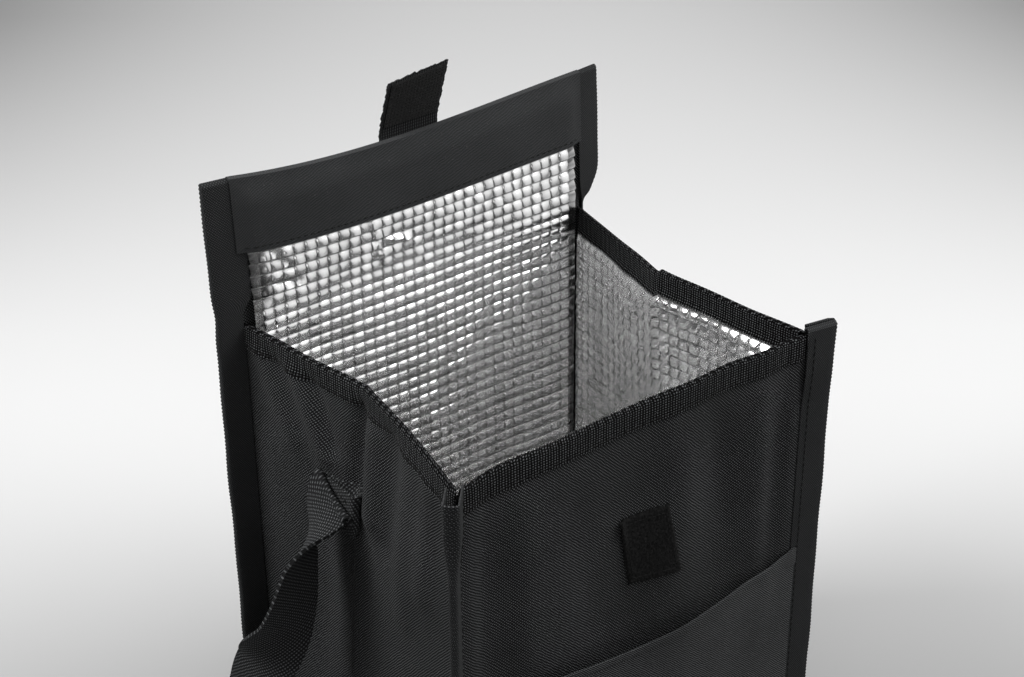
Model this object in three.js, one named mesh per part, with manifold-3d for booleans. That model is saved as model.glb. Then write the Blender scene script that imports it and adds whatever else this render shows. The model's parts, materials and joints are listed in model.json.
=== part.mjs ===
// Insulated lunch bag, standing open: lined cloth walls with creased side gussets, bound seams that
// stand out as fins, a back flap with a hook tab, a front pocket and a webbing handle.
// Millimetres, +Z up. The front is at -Y, and the origin is on the floor under the middle of the base.

import * as THREE from "three";
import { mergeVertices } from "three/addons/utils/BufferGeometryUtils.js";
import Module from "manifold-3d";

// Overall sizes
const BAG_WIDTH = 165; // between the outer faces of the two gussets
const BAG_DEPTH = 140; // between the outer faces of the front and the back
const RIM_HEIGHT = 230; // floor to the cut edge of the front and the gussets

// Layers of the wall, from outside to inside, and the tape that binds their edges
const SHELL_THICKNESS = 0.7;
const FOAM_THICKNESS = 2;
const FOIL_THICKNESS = 0.4;
const TAPE_THICKNESS = 0.6;
const LAYER_GAP = 0.2; // air between two layers that lie on each other
const GUSSET_GAP = 0.3; // the same on the creased gusset, whose faces are not square to the axes
const FIN_WIDTH = 11.5; // how far the bound seams stand out
const RIM_TAPE_HEIGHT = 9.5;

// Inward crease of the gussets
const CREASE_DEPTH = 11; // at the rim
const CREASE_Y = 4; // just behind the middle
const CREASE_FOOT = 60; // height at which the crease has faded out

// Soft hollows of the front, with ridges between them: where they are, as a share of half its free width
const FRONT_HOLLOWS = [
  { at: -0.89, depth: 2 },
  { at: -0.6, depth: 0 },
  { at: -0.08, depth: 2.4 },
  { at: 0.26, depth: 0 },
  { at: 0.53, depth: 2.2 },
  { at: 0.78, depth: 0 },
  { at: 0.91, depth: 1.4 },
];
const HOLLOW_FOOT = 122; // rim to the place behind the pocket where they have faded out
const HOLLOW_FULL = 82; // rim to the place down to which they keep their depth

// Flap at the back
const FOLD_RISE = 5; // height of the flap's fold above the rim
const FLAP_HEIGHT = 55.5; // fold to top edge
const FLAP_LEAN = THREE.MathUtils.degToRad(2.4); // it leans back at rest
const FOLD_SLIT = 0.3; // between the mitred edges of back and flap
const FOLD_CLEARANCE = 0.3; // keeps foam and foil apart when the flap lies over the mouth
const TAPE_SETBACK = 4; // the side tapes stop this far from the fold
const BAND_HEIGHT = 29.5; // cloth facing along the flap's top edge

// Hook tab on the flap
const TAB_WIDTH = 26.5;
const TAB_LENGTH = 20;
const TAB_X = -0.7; // middle of its seam
const TAB_SLANT = 4.5; // it leans this far to the right
const TAB_RISE = 3.5; // its top edge is higher on the right
const TAB_THICKNESS = 0.8;
const TAB_SEAM_GAP = 0.3;
const HOOK_THICKNESS = 1;
const HOOK_MARGIN = 1.2; // cloth left bare round the hooks
const HOOK_START = 5; // hooks begin this far above the seam

// Loop patch on the front
const PATCH_WIDTH = 22.5;
const PATCH_HEIGHT = 32;
const PATCH_X = 4.5;
const PATCH_DROP = 64; // rim to the middle of the patch
const PATCH_SLANT = -6.5; // its top is sewn further left than its bottom
const PATCH_THICKNESS = 1.2;

// Front pocket
const POCKET_HEIGHT = 132; // floor to the ends of its mouth
const POCKET_FOOT = 2;
const POCKET_BULGE = 10; // the mouth stands off the front in the middle
const BULGE_POWER = 1.5; // the pocket leaves the front slowly at its foot, then faster
const HEM_HEIGHT = 5;

// Webbing handle
const STRAP_WIDTH = 25;
const STRAP_THICKNESS = 1.2;
const STRAP_CLEARANCE = 1; // to the fins, when the handle swings past them
const ANCHOR_Y = 15;
const ANCHOR_DROP = 45; // rim to the fold that the handle swings on
const ANCHOR_LENGTH = 20; // sewn end under the strap
const ANCHOR_THICKNESS = 1; // where the sewn end is thinnest
const TWIST_RUN = 134; // length of strap in which each side turns over once
const BAIL_SETBACK = 8; // strap to back seam
const BAIL_HEIGHT = 12; // of the strap's middle above the floor

// Way of the strap from an anchor to its middle behind the bag: how far inside its widest place it
// runs, in strap widths, and the shares of its way back and down that are done
const STRAP_WAY = [
  { inset: 0.5, back: 0.033, down: 0.15 },
  { inset: 0.02, back: 0.092, down: 0.3 },
  { inset: 0, back: 0.236, down: 0.53 },
  { inset: 0, back: 0.472, down: 0.75 },
  { inset: 0.16, back: 0.803, down: 0.93 },
  { inset: 0.88, back: 0.987, down: 0.99 },
];

// Values that follow from the sizes above
const HALF_WIDTH = BAG_WIDTH / 2;
const HALF_DEPTH = BAG_DEPTH / 2;
const WALL = SHELL_THICKNESS + LAYER_GAP + FOAM_THICKNESS + LAYER_GAP + FOIL_THICKNESS;
const FOAM_DEPTH = SHELL_THICKNESS + LAYER_GAP; // outer face to foam
const FOIL_DEPTH = FOAM_DEPTH + FOAM_THICKNESS + LAYER_GAP; // outer face to foil
const FLANGE = FIN_WIDTH - TAPE_THICKNESS - LAYER_GAP; // cloth inside a fin
const FIN_STACK = 2 * SHELL_THICKNESS + 3 * LAYER_GAP; // what the tape of a fin wraps
const FIN_INNER = HALF_DEPTH + LAYER_GAP - FIN_STACK - TAPE_THICKNESS; // inner face of an upright fin
const BASE_FIN_END = FIN_INNER - LAYER_GAP; // the base fins end at the upright ones
const GUSSET_FOOT = TAPE_THICKNESS + SHELL_THICKNESS + 2 * LAYER_GAP;
const LINING_FOOT = WALL + LAYER_GAP; // wall linings stand on the base lining
const FLAT_EDGE = HALF_DEPTH - WALL; // the gussets are flat beyond this
const FRONT_FREE = HALF_WIDTH - WALL - TAPE_THICKNESS - 3 * LAYER_GAP; // and the front beyond this
const FOLD_HEIGHT = RIM_HEIGHT + FOLD_RISE;
const FOLD_SETBACK = WALL + FOLD_CLEARANCE; // foam and foil stop this far from the fold
const RIM_TOP = RIM_HEIGHT + LAYER_GAP + TAPE_THICKNESS;
const FLAP_TOP = FLAP_HEIGHT + LAYER_GAP + SHELL_THICKNESS;

const wasm = await Module();
wasm.setup();

// Geometry helpers

const steps = (first, last, count) =>
  Array.from({ length: count + 1 }, (_, i) => first + ((last - first) * i) / count);

const rectangle = (left, bottom, right, top) => [
  [left, bottom],
  [right, bottom],
  [right, top],
  [left, top],
];

// A slanted four-cornered outline, such as a tab that leans to one side
const slantedOutline = (width, height, slant, rise) => [
  [-width / 2, 0],
  [width / 2, 0],
  [width / 2 + slant, height + rise / 2],
  [-width / 2 + slant, height - rise / 2],
];

// A profile pulled straight along the axis whose basis is given
function pulled(profile, low, high, axisX, axisY, axisZ) {
  const shape = new THREE.Shape(profile.map(([a, b]) => new THREE.Vector2(a, b)));
  const geometry = new THREE.ExtrudeGeometry(shape, { depth: high - low, bevelEnabled: false });
  geometry.translate(0, 0, low);
  return geometry.applyMatrix4(new THREE.Matrix4().makeBasis(axisX, axisY, axisZ));
}

const X = new THREE.Vector3(1, 0, 0);
const Y = new THREE.Vector3(0, 1, 0);
const Z = new THREE.Vector3(0, 0, 1);
const alongX = (profileYZ, low, high) => pulled(profileYZ, low, high, Y, Z, X);
const alongY = (profileZX, low, high) => pulled(profileZX, low, high, Z, X, Y);
const alongZ = (profileXY, low, high) => pulled(profileXY, low, high, X, Y, Z);

// A closed body from points and triangles, turned so that its faces point out
function body(points, triangles) {
  const volume = triangles.reduce((sum, [a, b, c]) => {
    const normal = new THREE.Vector3().crossVectors(points[b], points[c]);
    return sum + points[a].dot(normal);
  }, 0);
  const outward = volume < 0 ? triangles.map(([a, b, c]) => [a, c, b]) : triangles;
  const geometry = new THREE.BufferGeometry();
  const positions = points.flatMap((point) => point.toArray());
  geometry.setAttribute("position", new THREE.Float32BufferAttribute(positions, 3));
  geometry.setIndex(outward.flat());
  geometry.computeVertexNormals();
  return geometry;
}

// A curved layer: a grid over us and vs at two depths, closed round its edge. Both faces share their
// diagonals, so that layers over the same grid stay parallel. A depth is a number or a function.
function layer(us, vs, place, near, far) {
  const columns = us.length;
  const rows = vs.length;
  const face = columns * rows;
  const points = [near, far].flatMap((depth) =>
    vs.flatMap((v) =>
      us.map((u) => place(u, v, typeof depth === "function" ? depth(u, v) : depth)),
    ),
  );
  const triangles = [];
  for (let j = 0; j < rows - 1; j += 1) {
    for (let i = 0; i < columns - 1; i += 1) {
      const a = j * columns + i;
      const b = a + 1;
      const c = b + columns;
      const d = a + columns;
      triangles.push([a, b, c], [a, c, d]);
      triangles.push([a + face, c + face, b + face], [a + face, d + face, c + face]);
    }
  }
  const lower = steps(0, columns - 1, columns - 1);
  const right = steps(2 * columns - 1, face - 1, rows - 2);
  const upper = steps(face - 2, face - columns, columns - 2);
  const left = steps(face - 2 * columns, 0, rows - 2).slice(0, -1);
  const border = [...lower, ...right, ...upper, ...left];
  border.forEach((p, k) => {
    const q = border[(k + 1) % border.length];
    triangles.push([q, p, p + face], [q, p + face, q + face]);
  });
  return body(points, triangles);
}

// An outline carried through stations and capped at both ends
function sweep(outline, stations, place) {
  const flat = outline.map(([a, b]) => new THREE.Vector2(a, b));
  if (THREE.ShapeUtils.isClockWise(flat)) {
    flat.reverse();
  }
  const count = flat.length;
  const points = stations.flatMap((station) => flat.map((p) => place(station, p.x, p.y)));
  const triangles = [];
  for (let k = 0; k < stations.length - 1; k += 1) {
    for (let i = 0; i < count; i += 1) {
      const a = k * count + i;
      const b = k * count + ((i + 1) % count);
      triangles.push([a, b, b + count], [a, b + count, a + count]);
    }
  }
  const last = (stations.length - 1) * count;
  for (const [a, b, c] of THREE.ShapeUtils.triangulateShape(flat, [])) {
    triangles.push([a, c, b], [last + a, last + b, last + c]);
  }
  return body(points, triangles);
}

function toManifold(geometry) {
  const bare = new THREE.BufferGeometry();
  bare.setAttribute("position", geometry.getAttribute("position"));
  bare.setIndex(geometry.getIndex());
  const merged = mergeVertices(bare);
  const vertProperties = new Float32Array(merged.getAttribute("position").array);
  const triVerts = new Uint32Array(merged.getIndex().array);
  return new wasm.Manifold(new wasm.Mesh({ numProp: 3, vertProperties, triVerts }));
}

function join(...geometries) {
  const whole = geometries.map(toManifold).reduce((sum, next) => sum.add(next));
  const { vertProperties, triVerts } = whole.getMesh();
  const geometry = new THREE.BufferGeometry();
  geometry.setAttribute("position", new THREE.Float32BufferAttribute(vertProperties, 3));
  geometry.setIndex(Array.from(triVerts));
  geometry.computeVertexNormals();
  return geometry;
}

// Tape folded over an edge: two legs and a softened fold round a stack of layers. "across" runs
// through the stack from its first face, and "along" from the open side to the fold.
function foldedTape(stack, length) {
  const t = TAPE_THICKNESS;
  return [
    [-t, 0],
    [-t, length - t],
    [0, length],
    [stack, length],
    [stack + t, length - t],
    [stack + t, 0],
    [stack, 0],
    [stack, length - t],
    [0, length - t],
    [0, 0],
  ];
}

// Materials

const material = (color, roughness, metalness = 0) =>
  new THREE.MeshStandardMaterial({ color, roughness, metalness });
const SHELL_CLOTH = material(0x34353a, 0.9);
const BINDING_TAPE = material(0x202125, 0.85);
const PADDING_FOAM = material(0xe8e8e4, 0.95);
const FOIL_LINING = material(0xc9cacc, 0.28, 1);
const WEBBING = material(0x2a2b2f, 0.9);
const HOOK_AND_LOOP = material(0x18191b, 0.98);

const bag = new THREE.Group();

function addTo(group, name, geometry, finish) {
  const mesh = new THREE.Mesh(geometry, finish);
  mesh.name = name;
  group.add(mesh);
  return mesh;
}

// Front, back and base

const CLOTH_REACH = HALF_WIDTH + FLANGE; // the cloth runs out into the fins
const LINING_REACH = HALF_WIDTH - FOAM_DEPTH; // front and back linings end at the gussets

const hollowNodes = [{ at: -1, depth: 0 }, ...FRONT_HOLLOWS, { at: 1, depth: 0 }];
function frontHollow(x, z) {
  const share = THREE.MathUtils.clamp(x / FRONT_FREE, -1, 1);
  const next = Math.max(1, hollowNodes.findIndex(({ at }) => at >= share));
  const [left, right] = [hollowNodes[next - 1], hollowNodes[next]];
  const across = THREE.MathUtils.mapLinear(share, left.at, right.at, left.depth, right.depth);
  const up = (z - RIM_HEIGHT + HOLLOW_FOOT) / (HOLLOW_FOOT - HOLLOW_FULL);
  return across * THREE.MathUtils.clamp(up, 0, 1);
}

// A point of the front wall, at a depth inward from its outer face
const frontPoint = (x, z, depth) => new THREE.Vector3(x, -HALF_DEPTH + depth + frontHollow(x, z), z);

const hollowXs = hollowNodes.map(({ at }) => at * FRONT_FREE);
const hollowZs = [RIM_HEIGHT - HOLLOW_FOOT, RIM_HEIGHT - HOLLOW_FULL, RIM_HEIGHT];
const liningXs = [-LINING_REACH, ...hollowXs, LINING_REACH];
const frontXs = [-CLOTH_REACH, -HALF_WIDTH, ...liningXs, HALF_WIDTH, CLOTH_REACH];
addTo(
  bag,
  "front_panel",
  layer(frontXs, [0, ...hollowZs], frontPoint, 0, SHELL_THICKNESS),
  SHELL_CLOTH,
);

const backEdge = FOLD_HEIGHT - FOLD_SLIT / 2;
const backProfile = [
  [HALF_DEPTH, 0],
  [HALF_DEPTH, backEdge],
  [HALF_DEPTH - SHELL_THICKNESS, backEdge - SHELL_THICKNESS],
  [HALF_DEPTH - SHELL_THICKNESS, 0],
];
addTo(bag, "back_panel", alongX(backProfile, -CLOTH_REACH, CLOTH_REACH), SHELL_CLOTH);

// The base cloth lies on the floor and steps up at both sides into the base fins
const STEP_UP = TAPE_THICKNESS + LAYER_GAP;
const STEP_X = LINING_REACH - STEP_UP;
const baseEnd = HALF_DEPTH - FOAM_DEPTH;
const baseFin = (side) =>
  alongY(
    [
      [0, side * (STEP_X - STEP_UP)],
      [0, side * STEP_X],
      [STEP_UP, side * LINING_REACH],
      [STEP_UP, side * CLOTH_REACH],
      [STEP_UP + SHELL_THICKNESS, side * CLOTH_REACH],
      [STEP_UP + SHELL_THICKNESS, side * (LINING_REACH - LAYER_GAP)],
      [SHELL_THICKNESS, side * (STEP_X - LAYER_GAP)],
      [SHELL_THICKNESS, side * (STEP_X - STEP_UP)],
    ],
    -BASE_FIN_END,
    BASE_FIN_END,
  );
const baseFloor = alongZ(rectangle(-STEP_X, -baseEnd, STEP_X, baseEnd), 0, SHELL_THICKNESS);
addTo(bag, "base_panel", join(baseFloor, baseFin(-1), baseFin(1)), SHELL_CLOTH);

// Linings of foam and foil, set in from the outer face by their depth
for (const [part, depth, thickness, finish] of [
  ["foam", FOAM_DEPTH, FOAM_THICKNESS, PADDING_FOAM],
  ["liner", FOIL_DEPTH, FOIL_THICKNESS, FOIL_LINING],
]) {
  const front = layer(liningXs, [LINING_FOOT, ...hollowZs], frontPoint, depth, depth + thickness);
  addTo(bag, `front_${part}`, front, finish);
  const outer = HALF_DEPTH - depth;
  const plan = rectangle(-LINING_REACH, outer - thickness, LINING_REACH, outer);
  addTo(bag, `back_${part}`, alongZ(plan, LINING_FOOT, FOLD_HEIGHT - FOLD_SETBACK), finish);
}
const basePlan = rectangle(-STEP_X + STEP_UP, -baseEnd, STEP_X - STEP_UP, baseEnd);
addTo(bag, "base_foam", alongZ(basePlan, FOAM_DEPTH, FOAM_DEPTH + FOAM_THICKNESS), PADDING_FOAM);
addTo(bag, "base_liner", alongZ(basePlan, FOIL_DEPTH, WALL), FOIL_LINING);

// Gussets, pushed in along a crease that fades out towards the floor

const RIM_TAPE_FOOT = RIM_HEIGHT - RIM_TAPE_HEIGHT;

function creaseShift(y, z) {
  const across =
    y < CREASE_Y ? (y + FLAT_EDGE) / (CREASE_Y + FLAT_EDGE) : (FLAT_EDGE - y) / (FLAT_EDGE - CREASE_Y);
  const up = (z - CREASE_FOOT) / (RIM_TAPE_FOOT - CREASE_FOOT);
  return CREASE_DEPTH * THREE.MathUtils.clamp(across, 0, 1) * THREE.MathUtils.clamp(up, 0, 1);
}

// A point of a side wall, at a depth inward from its outer face
const sidePoint = (side) => (y, z, depth) =>
  new THREE.Vector3(side * (HALF_WIDTH - depth - creaseShift(y, z)), y, z);

const HALF_GUSSET_STEPS = 4;
const CREASE_STEPS = 6;
const gussetYs = [
  ...steps(-FLAT_EDGE, CREASE_Y, HALF_GUSSET_STEPS),
  ...steps(CREASE_Y, FLAT_EDGE, HALF_GUSSET_STEPS).slice(1),
];
const gussetZs = [...steps(CREASE_FOOT, RIM_TAPE_FOOT, CREASE_STEPS), RIM_HEIGHT];
const flangeY = HALF_DEPTH - FOAM_DEPTH;
const liningY = FLAT_EDGE - LAYER_GAP;

const gussetFlange = (side, low, high, foot, top) => {
  const inner = side * (HALF_WIDTH - SHELL_THICKNESS);
  const outer = side * CLOTH_REACH;
  return alongZ(rectangle(Math.min(inner, outer), low, Math.max(inner, outer), high), foot, top);
};

for (const [side, name] of [
  [-1, "left"],
  [1, "right"],
]) {
  const place = sidePoint(side);
  const wall = layer(
    [-flangeY, ...gussetYs, flangeY],
    [GUSSET_FOOT, ...gussetZs],
    place,
    0,
    SHELL_THICKNESS,
  );
  const flanges = [
    gussetFlange(side, -flangeY, -flangeY + SHELL_THICKNESS, GUSSET_FOOT, RIM_HEIGHT),
    gussetFlange(side, flangeY - SHELL_THICKNESS, flangeY, GUSSET_FOOT, RIM_HEIGHT),
    gussetFlange(side, -BASE_FIN_END, BASE_FIN_END, GUSSET_FOOT, GUSSET_FOOT + SHELL_THICKNESS),
  ];
  addTo(bag, `${name}_gusset`, join(wall, ...flanges), SHELL_CLOTH);

  const liningYs = [-liningY, ...gussetYs.slice(1, -1), liningY];
  const liningZs = [LINING_FOOT, ...gussetZs];
  const lining = (depth, thickness) => layer(liningYs, liningZs, place, depth, depth + thickness);
  addTo(bag, `${name}_foam`, lining(FOAM_DEPTH, FOAM_THICKNESS), PADDING_FOAM);
  addTo(bag, `${name}_liner`, lining(FOIL_DEPTH, FOIL_THICKNESS), FOIL_LINING);
}

// Tapes over the rim

const rimStack = WALL + 2 * LAYER_GAP;
const rimTape = foldedTape(rimStack, RIM_TAPE_HEIGHT + LAYER_GAP + TAPE_THICKNESS);
const rimSection = rimTape.map(([across, along]) => [across - LAYER_GAP, RIM_TAPE_FOOT + along]);
const frontRimEnd = HALF_WIDTH - WALL - 3 * LAYER_GAP;
const frontRim = sweep(rimSection, [-frontRimEnd, ...hollowXs, frontRimEnd], (x, depth, z) =>
  frontPoint(x, z, depth),
);
addTo(bag, "front_rim_binding", frontRim, BINDING_TAPE);

const sideRimEnd = FLAT_EDGE - 2 * LAYER_GAP - TAPE_THICKNESS;
for (const [side, name] of [
  [-1, "left"],
  [1, "right"],
]) {
  const place = sidePoint(side);
  const tape = sweep(rimSection, [-sideRimEnd, CREASE_Y, sideRimEnd], (y, depth, z) => place(y, z, depth));
  addTo(bag, `${name}_rim_binding`, tape, BINDING_TAPE);
}

// Tapes over the seams that stand out at the four corners and along the base

const finTape = foldedTape(FIN_STACK, FIN_WIDTH - LAYER_GAP);
const finX = (side, along) => side * (HALF_WIDTH + LAYER_GAP + along);
for (const [side, sideName] of [
  [-1, "left"],
  [1, "right"],
]) {
  for (const [face, faceName, top] of [
    [-1, "front", RIM_TOP],
    [1, "back", FOLD_HEIGHT - TAPE_SETBACK],
  ]) {
    const plan = finTape.map(([across, along]) => [
      finX(side, along),
      face * (HALF_DEPTH + LAYER_GAP - across),
    ]);
    addTo(bag, `${faceName}_${sideName}_binding`, alongZ(plan, 0, top), BINDING_TAPE);
  }
  const profile = finTape.map(([across, along]) => [TAPE_THICKNESS + across, finX(side, along)]);
  addTo(
    bag,
    `base_${sideName}_binding`,
    alongY(profile, -BASE_FIN_END, BASE_FIN_END),
    BINDING_TAPE,
  );
}

// Pocket on the front: held at both sides and at the foot, standing off at its mouth

const POCKET_COLUMNS = 16;
const POCKET_ROWS = 8;
const pocketHemFoot = POCKET_HEIGHT - HEM_HEIGHT;
const pocketXs = steps(-HALF_WIDTH, HALF_WIDTH, POCKET_COLUMNS);
const HEM_STEP = 0.5; // the hem's folded edge
const pocketZs = [
  ...steps(POCKET_FOOT, pocketHemFoot - HEM_STEP, POCKET_ROWS),
  pocketHemFoot,
  POCKET_HEIGHT,
];
function pocketPoint(x, z, depth) {
  const height = (z - POCKET_FOOT) / (POCKET_HEIGHT - POCKET_FOOT);
  const bulge = POCKET_BULGE * (1 - (x / HALF_WIDTH) ** 2) * height ** BULGE_POWER;
  return new THREE.Vector3(x, -(HALF_DEPTH + LAYER_GAP + bulge + depth), z);
}
const pocketDepth = (x, z) => (z < pocketHemFoot ? SHELL_THICKNESS : 2 * SHELL_THICKNESS);
addTo(bag, "pocket_panel", layer(pocketXs, pocketZs, pocketPoint, 0, pocketDepth), SHELL_CLOTH);

// Loop patch that the tab closes on

const PATCH_STEPS = 4;
const patchFoot = RIM_HEIGHT - PATCH_DROP - PATCH_HEIGHT / 2;
const patchPoint = (u, v, depth) =>
  frontPoint(PATCH_X + u + PATCH_SLANT * (v / PATCH_HEIGHT - 0.5), patchFoot + v, depth);
const patch = layer(
  steps(-PATCH_WIDTH / 2, PATCH_WIDTH / 2, PATCH_STEPS),
  steps(0, PATCH_HEIGHT, PATCH_STEPS),
  patchPoint,
  -LAYER_GAP - PATCH_THICKNESS,
  -LAYER_GAP,
);
addTo(bag, "loop_patch", patch, HOOK_AND_LOOP);

// Sewn ends of the handle: a pad that fills the crease and is flat on the outside

const anchorZ = RIM_HEIGHT - ANCHOR_DROP;
const anchorFoot = anchorZ - ANCHOR_LENGTH;
const ANCHOR_STEPS = 2;
const anchorFront = ANCHOR_Y - STRAP_WIDTH / 2;
const anchorBack = ANCHOR_Y + STRAP_WIDTH / 2;
const anchorRows = steps(anchorFoot, anchorZ, ANCHOR_STEPS);
const anchorColumns = [...new Set([...steps(anchorFront, anchorBack, ANCHOR_STEPS), CREASE_Y])]
  .filter((y) => y >= anchorFront && y <= anchorBack)
  .sort((a, b) => a - b);
const leastShift = Math.min(...anchorColumns.map((y) => creaseShift(y, anchorFoot)));
const anchorFace = HALF_WIDTH - leastShift + GUSSET_GAP + ANCHOR_THICKNESS;
const anchorDepth = (y, z) => HALF_WIDTH - creaseShift(y, z) - anchorFace;
for (const [side, name] of [
  [-1, "left"],
  [1, "right"],
]) {
  addTo(
    bag,
    `${name}_handle_anchor`,
    layer(anchorColumns, anchorRows, sidePoint(side), -GUSSET_GAP, anchorDepth),
    WEBBING,
  );
}

// Handle: one strap from anchor to anchor that hangs behind the bag. Each side turns over once, so
// that the strap lies flat where it runs along behind the back.

const strapStart = anchorFace + GUSSET_GAP + STRAP_THICKNESS;
const strapSide = HALF_WIDTH + FIN_WIDTH + STRAP_WIDTH / 2 + STRAP_CLEARANCE;
const bailY = HALF_DEPTH + LAYER_GAP + TAPE_THICKNESS + STRAP_WIDTH / 2 + BAIL_SETBACK;
const strapHalf = [
  [strapStart, ANCHOR_Y, anchorZ],
  ...STRAP_WAY.map(({ inset, back, down }) => [
    strapSide - inset * STRAP_WIDTH,
    ANCHOR_Y + back * (bailY - ANCHOR_Y),
    anchorZ - down * (anchorZ - BAIL_HEIGHT),
  ]),
];
const strapPoints = [
  ...strapHalf.map(([x, y, z]) => new THREE.Vector3(-x, y, z)),
  new THREE.Vector3(0, bailY, BAIL_HEIGHT),
  ...strapHalf.map(([x, y, z]) => new THREE.Vector3(x, y, z)).reverse(),
];
const strapPath = new THREE.CatmullRomCurve3(strapPoints, false, "centripetal");
const strapLength = strapPath.getLength();
const STRAP_STEPS = 96;
const strapWidthHint = new THREE.Vector3(0, 1, 0.2); // the strap's width runs this way before it turns
function strapPoint(share, across, through) {
  const along = strapPath.getTangentAt(share);
  const level = strapWidthHint.clone().addScaledVector(along, -strapWidthHint.dot(along)).normalize();
  const inward = new THREE.Vector3().crossVectors(along, level);
  const fromEnd = Math.min(share, 1 - share) * strapLength;
  const turn = Math.PI * Math.min(fromEnd / TWIST_RUN, 1);
  const width = inward.clone().multiplyScalar(Math.sin(turn)).addScaledVector(level, Math.cos(turn));
  const thickness = inward.multiplyScalar(Math.cos(turn)).addScaledVector(level, -Math.sin(turn));
  return strapPath.getPointAt(share).addScaledVector(width, across).addScaledVector(thickness, through);
}
const strapSection = rectangle(
  -STRAP_WIDTH / 2,
  -STRAP_THICKNESS / 2,
  STRAP_WIDTH / 2,
  STRAP_THICKNESS / 2,
);
addTo(bag, "handle_strap", sweep(strapSection, steps(0, 1, STRAP_STEPS), strapPoint), WEBBING);

// Flap, in its own frame: the origin is on the fold line, y = 0 is its outer face and z runs up it

const flap = new THREE.Group();
flap.position.set(0, HALF_DEPTH, FOLD_HEIGHT);
flap.rotation.x = -FLAP_LEAN;
bag.add(flap);

const flapEdge = FOLD_SLIT / 2;
const flapProfile = [
  [0, flapEdge],
  [0, FLAP_HEIGHT],
  [-SHELL_THICKNESS, FLAP_HEIGHT],
  [-SHELL_THICKNESS, flapEdge + SHELL_THICKNESS],
];
addTo(flap, "flap_panel", alongX(flapProfile, -CLOTH_REACH, CLOTH_REACH), SHELL_CLOTH);

const flapLayer = (depth, thickness) =>
  alongX(
    rectangle(-depth - thickness, FOLD_SETBACK, -depth, FLAP_HEIGHT),
    -HALF_WIDTH,
    HALF_WIDTH,
  );
addTo(flap, "flap_foam", flapLayer(FOAM_DEPTH, FOAM_THICKNESS), PADDING_FOAM);
addTo(flap, "flap_liner", flapLayer(FOIL_DEPTH, FOIL_THICKNESS), FOIL_LINING);

// The facing covers the top of the foil and turns over the edge of the flap
const bandBack = -WALL - LAYER_GAP;
const bandProfile = [
  [bandBack, FLAP_HEIGHT - BAND_HEIGHT],
  [bandBack, FLAP_HEIGHT + LAYER_GAP],
  [0, FLAP_HEIGHT + LAYER_GAP],
  [0, FLAP_TOP],
  [bandBack - SHELL_THICKNESS, FLAP_TOP],
  [bandBack - SHELL_THICKNESS, FLAP_HEIGHT - BAND_HEIGHT],
];
addTo(flap, "flap_band", alongX(bandProfile, -HALF_WIDTH, HALF_WIDTH), SHELL_CLOTH);

const flapFinTape = foldedTape(SHELL_THICKNESS + 2 * LAYER_GAP, FIN_WIDTH - LAYER_GAP);
for (const [side, name] of [
  [-1, "left"],
  [1, "right"],
]) {
  const plan = flapFinTape.map(([across, along]) => [finX(side, along), LAYER_GAP - across]);
  addTo(flap, `flap_${name}_binding`, alongZ(plan, TAPE_SETBACK, FLAP_TOP), BINDING_TAPE);
}

// Tab, in a frame on its seam: it swings about the seam's line

const tab = new THREE.Group();
const seamHeight = FLAP_TOP + TAB_SEAM_GAP + TAB_THICKNESS / 2;
tab.position.set(TAB_X, -WALL / 2, seamHeight);
flap.add(tab);

const tabOutline = slantedOutline(TAB_WIDTH, TAB_LENGTH, TAB_SLANT, TAB_RISE).map(([x, z]) => [z, x]);
addTo(tab, "closure_tab", alongY(tabOutline, -TAB_THICKNESS / 2, TAB_THICKNESS / 2), SHELL_CLOTH);

const hookLength = TAB_LENGTH - HOOK_START - HOOK_MARGIN;
const slantAt = (height) => (TAB_SLANT * height) / TAB_LENGTH;
const hookOutline = slantedOutline(
  TAB_WIDTH - 2 * HOOK_MARGIN,
  hookLength,
  slantAt(hookLength),
  TAB_RISE,
).map(([x, z]) => [HOOK_START + z, slantAt(HOOK_START) + x]);
const hookBack = -TAB_THICKNESS / 2 - LAYER_GAP;
addTo(tab, "hook_strip", alongY(hookOutline, hookBack - HOOK_THICKNESS, hookBack), HOOK_AND_LOOP);

export default bag;
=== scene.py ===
# %% [markdown]
# # An insulated lunch bag, standing open
# This lesson dresses the CAD model of a soft lunch bag: black twill walls on foam, a silver foil lining with
# pressed squares, taped seams that stand out as fins, a flap with a hook tab, a pocket and a webbing handle.
# The CAD model is the frame. Every piece is built in metres where the CAD says it is. Most then ride on the
# body that carries them, so the pad and band of the flap, the tab's hooks and the handle can still move; the
# back and flap's cloth, lining and fin tapes and the tab's tape are baked where they lie.

# %% Load the frame
import json
import math

import bmesh
import bpy
import numpy as np
from mathutils import Matrix, Vector


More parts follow.
